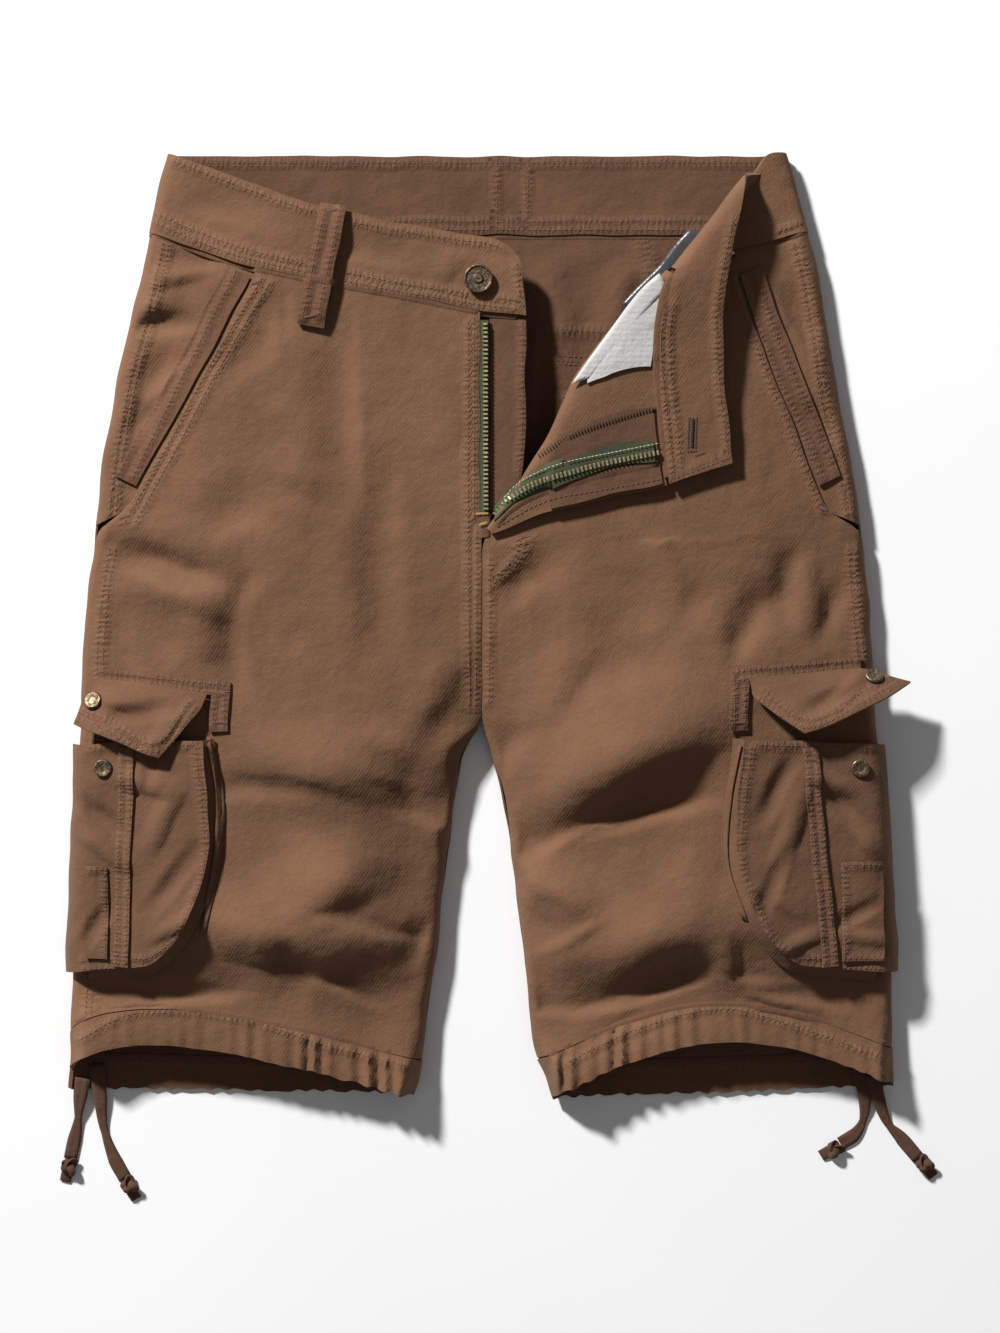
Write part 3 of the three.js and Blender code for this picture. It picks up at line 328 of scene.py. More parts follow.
def make_cord(name, points):
    """A flat tape of two folded layers along its route, with a soft twist in its edges."""
    route = [Vector((x + SHIFT_X, y, z)) * MM for x, y, z in smooth_route(points)]
    mesh = bpy.data.meshes.new(name)
    shape = bmesh.new()
    profile = [(-1, -0.25), (-0.9, 0.28), (-0.35, 0.34), (0, 0.24), (0.35, 0.34), (0.9, 0.28),
               (1, -0.25), (0.4, -0.42), (-0.4, -0.42)]
    rings = []
    for index, place in enumerate(route):
        before = route[max(0, index - 1)]
        after = route[min(len(route) - 1, index + 1)]
        along = (after - before).normalized()
        across = along.cross(Vector((0, 0, 1))).normalized()
        sway = 0.5 * math.sin(index * 0.55)
        half = CORD_WIDTH / 2 * table_value(TWIST_WIDTHS, index / (len(route) - 1)) * MM
        ring = []
        for side, up in profile:
            rise = (up * 1.7 + 0.25 * sway * side) * MM
            ring.append(shape.verts.new(place + across * side * half + Vector((0, 0, rise))))
        rings.append(ring)
    count = len(profile)
    for first, second in zip(rings, rings[1:]):
        for side in range(count):
            other = (side + 1) % count
            shape.faces.new((first[side], first[other], second[other], second[side]))
    shape.faces.new(rings[0][::-1])
    shape.faces.new(rings[-1])
    bmesh.ops.recalc_face_normals(shape, faces=shape.faces)
    lowest = min(v.co.z for v in shape.verts)
    if lowest < 0:
        for vert in shape.verts:
            vert.co.z -= lowest
    shape.to_mesh(mesh)
    shape.free()
    for face in mesh.polygons:
        face.use_smooth = True
    cord = finish_piece(f"drawcord_{name}", mesh, "cord_cotton")
    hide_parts(f"drawcord_{name}")
    heading = (route[-1] - route[-2]).normalized()
    end = Vector((route[-1].x, route[-1].y, 0)) + heading * KNOT_REACH * MM
    knot = make_knot(f"cord_knot_{name}", end, heading)
    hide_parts(f"cord_knot_{name}")


for cord_name, cord_points in CORD_ROUTES.items():
    make_cord(cord_name, cord_points)


# Creases of the front: soft ridges and troughs, listed one by one as seen in the photograph
CREASES = [
    # x, y, length, angle, bow, upper, lower, rise
    (-43, -81, 70, -16, 0, 12, 14, 4.2),
    (-98, -86, 130, -12, 4, 16, 12, 2.2),
    (-83, -151, 92, 34, 0, 14, 16, 3.2),
    (-190, -218, 124, 4, 0, 12, 6, -4.4),
    (-136, -95, 76, -2, 0, 14, 6, -2.2),
    (-32, -112, 62, -18, 0, 10, 5, -3.2),
    (-104, -191, 124, -12, 0, 14, 13, 4.1),
    (-92, -208, 108, -23, 0, 11, 5, -3.6),
    (-76, -181, 94, 163, 0, 12, 4, 2.6),
    (86, -68, 164, 27, 0, 22, 25, 5.2),
    (54, -104, 80, 46, 0, 10, 14, 2.6),
    (104, -105, 108, 8, 0, 14, 6, -2.7),
    (42, -125, 82, 30, 0, 12, 5, -3.8),
    (44, -158, 66, -25, 0, 12, 14, 3.6),
    (52, -186, 56, 208, 0, 10, 4, 2.4),
    (86, -194, 132, 20, 0, 14, 17, 4.6),
    (104, -215, 92, 16, 0, 12, 5, -3.0),
    (184, -217, 84, -12, 0, 11, 5, -3.4),
    (50, -225, 84, 5, 0, 14, 5, -3.4),
    (170, -209, 104, -20, 0, 12, 12, 3.4),
    (-182, 46, 84, -20, 0, 10, 6, 2.4),
    (-184, 26, 90, 163, 0, 10, 5, 2.6),
    (-192, 36, 90, -20, 0, 8, 7, -3.4),
    (-178, 20, 90, -20, 0, 7, 9, 2.6),
    (-137, 20, 34, 76, 3, 5, 4, -3.8),
    (-136, 21, 30, 78, 3, 5, 5, 1.6),
    (-146, -14, 76, 90, 0, 7, 4, -2.4),
    (-196, -2, 60, -48, 0, 8, 8, -2.0),
    (-168, -6, 46, -70, 0, 8, 7, 1.8),
    (-216, -8, 50, -62, 0, 6, 5, -1.6),
    (-84, 120, 150, 92, 0, 10, 9, -3.8),
    (-62, 40, 150, 93, 0, 9, 12, -3.4),
    (-118, 40, 90, 84, 0, 12, 12, 1.2),
    (-148, 70, 50, 22, 0, 10, 12, -2.2),
    (-108, 88, 60, -24, 0, 8, 7, 1.4),
    (-117, 186, 40, 92, 0, 4, 4, -1.2),
    (-128, 180, 46, 86, 0, 5, 5, -1.3),
    (-140, 160, 50, 28, 0, 8, 8, -1.4),
    (-30, -44, 90, 60, 0, 9, 8, 2.2),
    (-16, -72, 40, 50, 0, 6, 5, 1.6),
    (-52, -84, 50, -36, 0, 6, 6, -2.4),
    (-112, -90, 120, -8, 6, 14, 9, 2.4),
    (-28, -116, 60, -62, 0, 8, 7, 1.8),
    (-122, -130, 70, 62, 0, 14, 12, -1.2),
    (-92, -160, 70, 18, 0, 9, 7, 1.8),
    (-54, -170, 60, -20, 0, 9, 6, 2.0),
    (-40, -190, 40, 70, 0, 6, 5, -1.8),
    (-176, -214, 100, 12, 6, 10, 9, 2.2),
    (-124, -190, 36, 68, 0, 10, 6, 1.8),
    (-86, -206, 90, -24, 0, 8, 8, 2.2),
    (-112, -216, 60, 70, 0, 9, 9, -1.0),
    (26, 26, 46, 40, 0, 7, 7, -2.4),
    (56, 20, 56, -54, 0, 10, 10, 1.8),
    (96, 12, 60, 26, 0, 14, 12, -1.6),
    (112, 34, 90, 106, 0, 6, 5, 1.3),
    (122, 10, 60, 62, 0, 8, 8, -1.4),
    (88, -24, 70, 10, 0, 12, 10, -1.4),
    (46, -34, 80, 58, 0, 12, 10, 2.2),
    (14, -76, 50, 60, 0, 7, 6, -2.4),
    (100, -74, 120, 28, 0, 10, 14, 2.0),
    (96, -112, 120, 14, 4, 8, 8, -2.4),
    (70, -140, 70, 82, 0, 14, 12, -1.2),
    (128, -144, 80, 74, 0, 12, 10, 1.4),
    (44, -156, 60, -24, 0, 8, 7, 2.4),
    (58, -176, 60, 30, 0, 8, 8, 2.0),
    (96, -196, 90, 26, 0, 8, 8, 1.8),
    (150, -200, 90, -34, 0, 8, 8, 2.0),
    (124, -196, 40, 84, 0, 10, 8, 1.4),
    (80, -226, 60, 34, 0, 8, 7, 1.6),
    (160, 2, 66, 56, 0, 7, 7, -3.2),
    (182, 24, 60, 82, 0, 6, 5, -3.2),
    (196, 18, 62, 96, 0, 6, 5, 2.4),
    (207, 8, 52, 72, 0, 5, 5, -2.6),
    (142, -4, 50, 100, 0, 7, 6, 1.8),
    (-174, 216, 44, 4, 0, 5, 4, -2.0),
    (-186, 208, 50, 12, 0, 6, 5, 2.2),
    (-190, 180, 56, 4, 0, 6, 5, -2.8),
    (-198, 190, 50, 12, 0, 7, 6, 2.2),
    (-194, 150, 50, 42, 0, 6, 6, -2.4),
    (-202, 124, 44, 62, 0, 6, 5, -2.0),
    (190, 186, 50, -66, 0, 7, 6, -1.8),
    (196, 150, 60, -66, 0, 6, 6, 1.8),
    (202, 120, 40, -60, 0, 5, 5, -1.6),
    (-150, 250, 60, -20, 0, 8, 7, -1.6),
    (-64, 222, 60, -10, 0, 7, 6, -1.4),
    (-20, 214, 30, 60, 0, 6, 6, 1.0),
]
BACK_CREASES = [
    (46, 188, 110, 96, 0, 9, 9, 2.2),
    (84, 200, 90, 74, 0, 7, 7, 2.6),
    (28, 130, 100, 88, 0, 6, 6, 1.8),
    (60, 220, 70, 12, 0, 6, 5, 1.6),
    (100, 215, 50, 100, 0, 4, 4, 2.0),
]
FADE_IN = 9
CREST_REACH = 2.4
FOOT_REACH = 1.3
CREASE_GAIN = 1.5
CRISP_REACH = 1.4


SIDE_LINE = {
    "right": [(282, 187), (241, 197), (211, 203), (151, 217), (91, 228), (46, 231), (16, 236), (-29, 239),
              (-104, 240), (-194, 244), (-282, 246)],
    "left": [(282, 181), (241, 193), (211, 201), (151, 209), (91, 222), (46, 227), (16, 231), (-29, 233),
             (-104, 239), (-194, 244), (-282, 245)],
}
INSEAM = {
    "right": [(-62, 0), (-74, 13), (-104, 17), (-134, 22), (-194, 27), (-224, 33), (-254, 35), (-282, 42)],
    "left": [(-62, 0), (-74, 7), (-104, 16), (-134, 18), (-194, 26), (-224, 28), (-254, 32), (-282, 44)],
}


def smooth_step(value):
    value = min(1.0, max(0.0, value))
    return value * value * (3 - 2 * value)


def edge_fade(x, y):
    side = "right" if x < 0 else "left"
    from_side = table_value(SIDE_LINE[side], y) - abs(x)
    from_inseam = abs(x) - table_value(INSEAM[side], y) + max(0, y + 62) * 1.2
    return smooth_step(from_side / FADE_IN) * smooth_step(from_inseam / FADE_IN)


def crease_rise(x, y, creases, crest_reach=CREST_REACH):
    total = 0.0
    for cx, cy, length, angle, bow, upper, lower, rise in creases:
        if abs(x - cx) > length and abs(y - cy) > length:
            continue
        turn = math.radians(angle)
        along = (x - cx) * math.cos(turn) + (y - cy) * math.sin(turn)
        reach = 2 * along / length
        if abs(reach) >= 1:
            continue
        across = (y - cy) * math.cos(turn) - (x - cx) * math.sin(turn)
        wander = 1.6 * noise.noise(Vector((along * 0.05, cx, cy)))
        offset = across - bow * (1 - reach ** 2) + wander
        fade = 1 - smooth_step(abs(reach)) ** 1.5
        if offset > 0:
            total += rise * fade * (1 - smooth_step(offset / (upper * crest_reach)))
        elif offset > -lower * FOOT_REACH:
            total += rise * fade * (1 - (offset / (lower * FOOT_REACH)) ** 2)
    return total * CREASE_GAIN


def rumple(x, y):
    """Low uneven waves of worn cotton, the same wherever pieces lie on each other."""
    place = Vector((x * 0.018, y * 0.018, 0.3))
    small = Vector((x * 0.055, y * 0.055, 1.7))
    return 1.0 * noise.noise(place) + 0.45 * noise.noise(small)


# Sewn lines: the piece, the points in millimetres, and how far apart a second row lies
SEWN = [
    ("waistband_right", [(-196, 241), (-150, 222), (-101, 209.5), (-50, 199), (0, 191), (22, 188)], 5),
    ("waistband_right", [(-183, 277), (-100, 246), (-25, 231), (0, 228), (13, 224)], 0),
    ("waistband_right", [(21, 215), (23, 190)], 0),
    ("waistband_back", [(-192, 238), (0, 238), (188, 238)], 5),
    ("waistband_back", [(-180, 278), (0, 278), (174, 278)], 0),
    ("waistband_back", [(9, 280), (9, 237)], 0),
    ("waistband_back", [(28, 280), (27, 237)], 0),
    ("front_right", [(-4.5, 183), (-4.5, 120), (-4.5, 64)], 0),
    ("front_right", [(-8, 180), (-8, 120), (-8, 30), (-7, -48)], 0),
    ("front_right", [(-3, 56), (-3, 0), (-4, -48)], 0),
    ("front_left", [(5, 40), (5, 0), (4, -46)], 0),
    ("front_left", [(23, 51), (20, 42), (13, 34), (4, 28)], 3.5),
    ("front_right", [(-131, 206), (-158, 161), (-187, 107), (-212, 63)], 5.5),
    ("front_left", [(147, 212), (165, 161), (187, 107), (202, 68)], 5.5),
    ("pocket_welt_right", [(-146, 211), (-164, 176), (-194, 116), (-208, 88)], 0),
    ("pocket_welt_right", [(-155, 213), (-172, 178), (-202, 119), (-216, 91)], 0),
    ("pocket_welt_left", [(152, 211), (168, 165), (193, 110), (203, 88)], 0),
    ("pocket_welt_left", [(161, 213), (177, 168), (202, 112), (210, 92)], 0),
    ("front_right", [(-222, 46), (-228, 0), (-230, -60), (-232, -140), (-236, -236)], 3.5),
    ("front_left", [(218, 46), (222, 0), (224, -22)], 3.5),
    ("side_facing_right", [(-190, 228), (-198, 190), (-211, 140), (-219, 92), (-222, 66)], 3.5),
    ("side_facing_left", [(186, 228), (194, 190), (201, 140), (213, 92), (217, 66)], 3.5),
    ("hem_front_right", [(-240, -246), (-211, -231), (-180, -228), (-130, -236), (-91, -249), (-44, -261)], 0),
    ("hem_front_left", [(240, -257), (191, -239), (143, -227), (95, -238), (50, -259)], 0),
    ("hem_back_right", [(-226, -260), (-60, -264)], 0),
    ("hem_back_left", [(218, -260), (60, -264)], 0),
    ("cargo_body_right", [(-169, -72), (-163, -134), (-171, -164), (-181, -184), (-196, -196)], 5),
    ("cargo_body_right", [(-198, -201), (-236, -203)], -5),
    ("cargo_body_right", [(-170, -70), (-232, -72)], -9),
    ("cargo_body_left", [(159, -72), (153, -134), (162, -164), (172, -184), (188, -196)], -5),
    ("cargo_body_left", [(190, -201), (238, -203)], 5),
    ("cargo_body_left", [(162, -70), (232, -72)], 9),
    ("cargo_strap_right", [(-207, -74), (-210, -200)], 0),
    ("cargo_strap_right", [(-213, -74), (-216, -200)], 0),
    ("cargo_strap_left", [(191.5, -74), (203, -200)], 0),
    ("cargo_strap_left", [(197.5, -74), (209, -200)], 0),
    ("cargo_patch_left", [(214.5, -142), (214.5, -196)], 0),
    ("cargo_patch_left", [(214, -141), (237, -141)], 9),
    ("cargo_patch_left", [(215, -196), (237, -197)], 0),
    ("cargo_patch_right", [(-222.5, -144), (-222.5, -195)], 0),
    ("cargo_patch_right", [(-222, -144), (-233, -144)], -9),
    ("flap_tape_right", [(-152, -35), (-190, -31), (-227, -27)], 5),
    ("flap_tape_right", [(-152.5, -37), (-152.5, -60)], 0),
    ("flap_tape_right", [(-159, -42), (-159, -60)], 0),
    ("flap_tape_left", [(149, -27), (190, -23), (223, -20)], -5),
    ("flap_tape_left", [(149.5, -28), (149.5, -60)], 0),
    ("flap_tape_left", [(156, -34), (156, -60)], 0),
    ("cargo_flap_right", [(-169, -48), (-191, -74), (-224, -60), (-240, -54)], -5),
    ("cargo_flap_left", [(164, -43), (192, -60), (234, -39.5), (249, -32)], 5),
    ("belt_loop", [(-93, 247), (-106.5, 181)], 0),
    ("belt_loop", [(-83.5, 249), (-97, 183)], 0),
    ("waistband_left", [(108, 190), (105.5, 168), (107, 146), (110, 120), (114, 88)], 5),
    ("waistband_left", [(148, 238), (140, 200), (138.5, 168), (141, 136), (146, 100)], 0),
    ("waistband_left", [(116, 88), (145, 99)], 0),
    ("waistband_left", [(190, 240), (176, 235)], 5),
    ("back_left", [(32, 178), (55, 178), (78, 176)], 0),
    ("back_left", [(32, 178), (33, 158), (33, 137)], 0),
    ("back_left", [(34, 158), (76, 156)], 5),
    ("back_left", [(33, 137), (60, 138)], 0),
    ("back_left", [(94, 236), (98, 218), (101, 202)], 4),
    ("fly_shield", [(24, 180), (24, 120), (22, 90)], 0),
]
STITCH_PITCH = 3.1
STITCH_LENGTH = 2.3
STITCH_RADIUS = 0.28
SEAM_REACH = 5.0
RUN_JUMP = 7.0
COARSE_FACES = 700
LOWEST = 0.0002


def resample(points, pitch):
    """Evenly spaced (place, direction) along a smooth line in the plane."""
    route = smooth_route([(x, y, 0) for x, y in points], 10)
    spaced, left = [], 0.0
    for a, b in zip(route, route[1:]):
        step = b - a
        length = step.length
        if length == 0:
            continue
        along = step / length
        while left <= length:
            spaced.append((a + along * left, along))
            left += pitch
        left -= length
    return spaced


def beside(points, apart):
    """The line moved sideways, to the left of its direction."""
    moved = []
    for index, point in enumerate(points):
        before = Vector(points[max(0, index - 1)])
        after = Vector(points[min(len(points) - 1, index + 1)])
        along = (after - before).normalized()
        moved.append((point[0] - along.y * apart, point[1] + along.x * apart))
    return moved


def sewn_rows():
    for piece, points, apart in SEWN:
        yield piece, points
        if apart:
            yield piece, beside(points, apart)


ROWS = list(sewn_rows())


def seam_trees():
    """Search trees of the sewn lines by piece, with the length run along each, for wear and puckers."""
    pitch = 2.0
    found = {}
    for piece, points in ROWS:
        places = [place for place, _ in resample(points, pitch)]
        found.setdefault(piece, []).extend((place, index * pitch) for index, place in enumerate(places))
    trees = {}
    for piece, listed in found.items():
        tree = KDTree(len(listed))
        for index, (place, _) in enumerate(listed):
            tree.insert(place, index)
        tree.balance()
        trees[piece] = (tree, [run for _, run in listed])
    return trees


SEAM_TREES = seam_trees()


# Cloth pieces: the solid's own form, made finer and creased
FRONT_PIECES = {
    "front_right", "side_facing_right", "side_facing_left", "pocket_welt_right", "pocket_welt_left",
    "waistband_right", "belt_loop", "fly_shield", "zip_tape_right", "hem_front_right", "hem_front_left",
    "cargo_gusset_right", "cargo_gusset_left", "flap_tape_right", "flap_tape_left",
}
CARGO_PIECES = {
    "cargo_body_right", "cargo_body_left", "cargo_strap_right", "cargo_strap_left",
    "cargo_patch_right", "cargo_patch_left",
}
CARGO_CREASES = [
    (-190, -116, 60, 64, 0, 7, 6, 2.2),
    (-182, -150, 70, 52, 0, 6, 5, -2.2),
    (-180, -176, 50, 28, 0, 5, 4, 1.8),
    (-226, -112, 56, -38, 0, 6, 5, -2.4),
    (-222, -132, 56, -30, 0, 6, 5, 2.2),
    (-200, -92, 56, -14, 0, 7, 6, 2.4),
    (-196, -82, 40, 80, 0, 4, 4, -1.4),
    (-228, -176, 44, 60, 0, 5, 5, -1.8),
    (174, -96, 60, 62, 0, 6, 5, -2.4),
    (182, -122, 84, 74, 0, 7, 6, 2.2),
    (172, -150, 60, 66, 0, 5, 5, -2.0),
    (176, -172, 56, -40, 0, 6, 5, -2.0),
    (188, -186, 40, 20, 0, 5, 4, 1.8),
    (216, -108, 56, -50, 0, 7, 5, -2.8),
    (226, -124, 56, -46, 0, 6, 5, 2.2),
    (206, -92, 44, -20, 0, 6, 5, 2.0),
    (222, -170, 44, 30, 0, 5, 4, -1.6),
    (228, -184, 40, -10, 0, 4, 4, 1.4),
]
FLAP_CREASES = [
    (-204, -52, 60, 10, 0, 6, 5, -2.2),
    (-214, -44, 44, -24, 0, 5, 5, 1.8),
    (-188, -62, 40, 52, 0, 5, 5, 1.4),
    (206, -44, 60, 24, 0, 6, 5, -2.2),
    (218, -36, 44, 46, 0, 5, 5, 1.8),
    (190, -50, 40, -34, 0, 5, 5, 1.4),
]
HEM_GATHERS = 2.0
HEM_WAVE_START = 0.25


def hem_wave(x):
    """Narrow gathers of a casing, stronger towards the inside leg."""
    inner = smooth_step((170 - abs(x)) / 120)
    phase = x * 0.62 + 1.8 * noise.noise(Vector((x * 0.04, 3.0, 0.0)))
    return HEM_GATHERS * (0.2 + inner) * math.sin(phase) * (0.6 + 0.4 * math.sin(x * 0.17))


HEM_ROW = {"right": (-242, -258, 20, 0.6), "left": (-251, -258, 30, 1)}
CARGO_ROOM = {"right": (-252, -164, -206, -64), "left": (154, 252, -206, -64)}
CARGO_FADE = 9
HEM_LIFT = 9
HEM_DEPTH = 21


def beyond_cargo(x, y):
    """0 under a cargo pocket, where the leg keeps its plain form, and 1 well beside it."""
    west, east, south, north = CARGO_ROOM["right" if x < 0 else "left"]
    away = max(west - x, x - east, south - y, y - north)
    return smooth_step(away / CARGO_FADE)


def hem_seam_y(x):
    """Height on the garment of the seam between a leg and its casing."""
    side = "right" if x < 0 else "left"
    outer, inner, arch, power = HEM_ROW[side]
    out_x, in_x = table_value(SIDE_LINE[side], outer), table_value(INSEAM[side], inner)
    share = min(1.0, max(0.0, (out_x - abs(x)) / (out_x - in_x)))
    return outer + (inner - outer) * share + arch * math.sin(math.pi * share ** power)


def rise_at(name, x, y):
    """How far a point of a piece is lifted or lowered, in millimetres."""
    if name == "front_left" and under_turn(x, y):
        return 0.0
    if name in FRONT_PIECES or name == "front_left":
        rise = crease_rise(x, y, CREASES) * beyond_cargo(x, y) + rumple(x, y)
        below = (hem_seam_y(x) - y) / HEM_DEPTH
        rise += HEM_LIFT * smooth_step((below + 1) / 2)
        if name.startswith("hem"):
            rise += hem_wave(x) * smooth_step(below / HEM_WAVE_START)
        return rise * edge_fade(x, y)
    if name in CARGO_PIECES:
        out = table_value(SIDE_LINE["right" if x < 0 else "left"], y) + 4 - abs(x)
        rise = crease_rise(x, y, CARGO_CREASES, CRISP_REACH) + rumple(x, y)
        return rise * smooth_step(out / 14)
    if name.startswith("cargo_flap"):
        return crease_rise(x, y, FLAP_CREASES, CRISP_REACH) + 0.7 * rumple(x, y)
    if name == "back_left":
        return max(0.0, crease_rise(x, y, BACK_CREASES)) * smooth_step((228 - y) / 20)
    return 0.0


BAG_TIP = (61, 74)
BAG_TIP_RISE = 2.6


def shift_at(name, x, y):
    """A small wander of the cloth in its own plane, so that no edge is quite straight."""
    wander_x = 1.3 * noise.noise(Vector((x * 0.012, y * 0.045, 5.0)))
    wander_y = 1.1 * noise.noise(Vector((x * 0.045, y * 0.012, 9.0)))
    if name == "pocket_bag":
        wander_y += BAG_TIP_RISE * smooth_step((BAG_TIP[1] - x) / (BAG_TIP[1] - BAG_TIP[0]))
    if name.startswith("hem"):
        near_edge = smooth_step((-252 - y) / 24)
        wander_y += 0.9 * near_edge * math.sin(x * 0.55 + 2.5 * noise.noise(Vector((x * 0.05, 0, 2))))
    return wander_x, wander_y


def under_turn(x, y):
    """True where the turned corner lies over the left front."""
    return y > 52 and x < 168 and y < 290 and (x - 3) * 0.829 - (y - 58) * 0.559 < 140


def refine(name):
    """The solid's mesh as clean quads, subdivided with sharp edges kept, then creased."""
    node = NODES[name]
    levels = 2 if len(node.data.polygons) > COARSE_FACES else 3
    shape = bmesh.new()
    shape.from_mesh(node.data)
    bmesh.ops.remove_doubles(shape, verts=shape.verts, dist=0.004 * MM)
    bmesh.ops.join_triangles(shape, faces=shape.faces, angle_face_threshold=0.9,
                             angle_shape_threshold=1.2, cmp_seam=False)
    crease = shape.edges.layers.float.new("crease_edge")
    for edge in shape.edges:
        if len(edge.link_faces) == 2 and edge.calc_face_angle() > 1.0:
            edge[crease] = 1.0
    mesh = bpy.data.meshes.new(name)
    shape.to_mesh(mesh)
    shape.free()
    look = "brown_pocket" if name.startswith("cargo") else SLOT_OF[name]
    made = finish_piece(f"{name}_cloth", mesh, look)
    smoother = made.modifiers.new("fine", "SUBSURF")
    smoother.levels = levels
    smoother.render_levels = levels
    graph = bpy.context.evaluated_depsgraph_get()
    fine = bpy.data.meshes.new_from_object(made.evaluated_get(graph))
    made.modifiers.clear()
    made.data = fine
    seam = fine.attributes.new("seam", "FLOAT", "POINT")
    run = fine.attributes.new("run", "FLOAT", "POINT")
    pucker = fine.attributes.new("pucker", "FLOAT", "POINT")
    tree, runs = SEAM_TREES.get(name, (None, None))
    for vert in fine.vertices:
        x, y = vert.co.x / MM - SHIFT_X, vert.co.y / MM
        vert.co.z = max(vert.co.z + rise_at(name, x, y) * MM, min(vert.co.z, LOWEST))
        shift = shift_at(name, x, y)
        vert.co.x += shift[0] * MM
        vert.co.y += shift[1] * MM
        if tree:
            _, index, distance = tree.find((x, y, 0))
            seam.data[vert.index].value = 1 - smooth_step(distance / SEAM_REACH)
            pucker.data[vert.index].value = seam.data[vert.index].value
            run.data[vert.index].value = runs[index] * MM
    for edge in fine.edges:
        a, b = edge.vertices
        if abs(run.data[a].value - run.data[b].value) > RUN_JUMP * MM:
            pucker.data[a].value = pucker.data[b].value = 0.0
    for face in fine.polygons:
        face.use_smooth = True
    fine.update()
    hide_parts(name)
    return made


CLOTH_NODES = [name for name, slot in SLOT_OF.items() if slot not in ("antique_brass", "cord_cotton")]
CLOTHS = {name: refine(name) for name in CLOTH_NODES}
for name, cloth in CLOTHS.items():
    sharp = cloth.modifiers.new("edges", "EDGE_SPLIT")
    sharp.split_angle = math.radians(55)


def surface_of(names):
    """A search tree of the fine cloths, to lay sewing on them."""
    verts, faces = [], []
    for name in names:
        mesh = CLOTHS[name].data
        start = len(verts)
        verts += [v.co.copy() for v in mesh.vertices]
        faces += [[start + i for i in face.vertices] for face in mesh.polygons]
    return BVHTree.FromPolygons(verts, faces)


SURFACES = {name: surface_of([name]) for name in CLOTHS}
SURFACES["any"] = surface_of(CLOTHS)
SURFACES["bare"] = surface_of([name for name in CLOTHS if name not in ("zip_tape_left", "pocket_bag")])
SURFACES["behind"] = surface_of(["waistband_back", "back_right", "back_left", "hem_back_right", "hem_back_left"])
DOWN = Vector((0, 0, -1))
ABOVE = 0.1
FLATTEST = 0.15


def land(name, x, y):
    """The place and normal where a fine cloth is met from above."""
    start = Vector(((x + SHIFT_X) * MM, y * MM, ABOVE))
    place, normal, _, _ = SURFACES[name].ray_cast(start, DOWN)
    return (place, normal) if place is not None and normal.z > FLATTEST else (None, None)


# Seams between two pieces, where the folded-in edges fill the gap
def hem_line(side):
    """The line between a front leg and the casing of its hem."""
    out_x = table_value(SIDE_LINE[side], HEM_ROW[side][0])
    in_x = table_value(INSEAM[side], HEM_ROW[side][1])
    places = [SIGN[side] * (out_x + (in_x - out_x) * (0.02 + 0.96 * index / 24)) for index in range(25)]
    return [(x, hem_seam_y(x) - 0.4) for x in places]


JOINED = [
    ("any", [(-200, 235.8), (-193, 234), (-146, 216.2), (-101, 206.2), (-50, 196.7), (-1, 187.2), (23, 184.8)]),
    ("any", [(198, 237.6), (176, 230.4), (160, 226), (148, 222)]),
    ("any", [(114, 207), (108, 196), (103.6, 168), (104, 146), (106.4, 120), (109, 100), (110.6, 87)]),
    ("behind", [(-188, 234.6), (0, 234.6), (183, 234.6)]),
    ("any", hem_line("right")), ("any", hem_line("left")),
    ("behind", [(-232, -255.3), (-140, -257.6), (-48, -260)]),
    ("behind", [(230, -255.3), (140, -257.6), (48, -260)]),
]
SEAM_DEPTH = 2.2
SEAM_PROBE = 3.0
SEAM_HALF_WIDTH = 2.9


def lay_seams():
    mesh = bpy.data.meshes.new("seams")
    shape = bmesh.new()
    for surface, points in JOINED:
        centres, wide = [], []
        for place, along in resample(points, 2.0):
            across = Vector((-along.y, along.x, 0))
            heights = []
            for side in (-SEAM_PROBE, SEAM_PROBE):
                hit, _ = land(surface, place.x + across.x * side, place.y + across.y * side)
                if hit is not None:
                    heights.append(hit.z)
            if not heights:
                continue
            height = max(min(heights), max(heights) - SEAM_DEPTH * MM) - 0.35 * MM
            centres.append(Vector(((place.x + SHIFT_X) * MM, place.y * MM, height)))
            wide.append(across)
        tube(shape, centres, wide, SEAM_HALF_WIDTH * MM, 0.7 * MM)
    bmesh.ops.recalc_face_normals(shape, faces=shape.faces)
    shape.to_mesh(mesh)
    shape.free()
    for face in mesh.polygons:
        face.use_smooth = True
    finish_piece("seams", mesh, "brown_trim")


lay_seams()


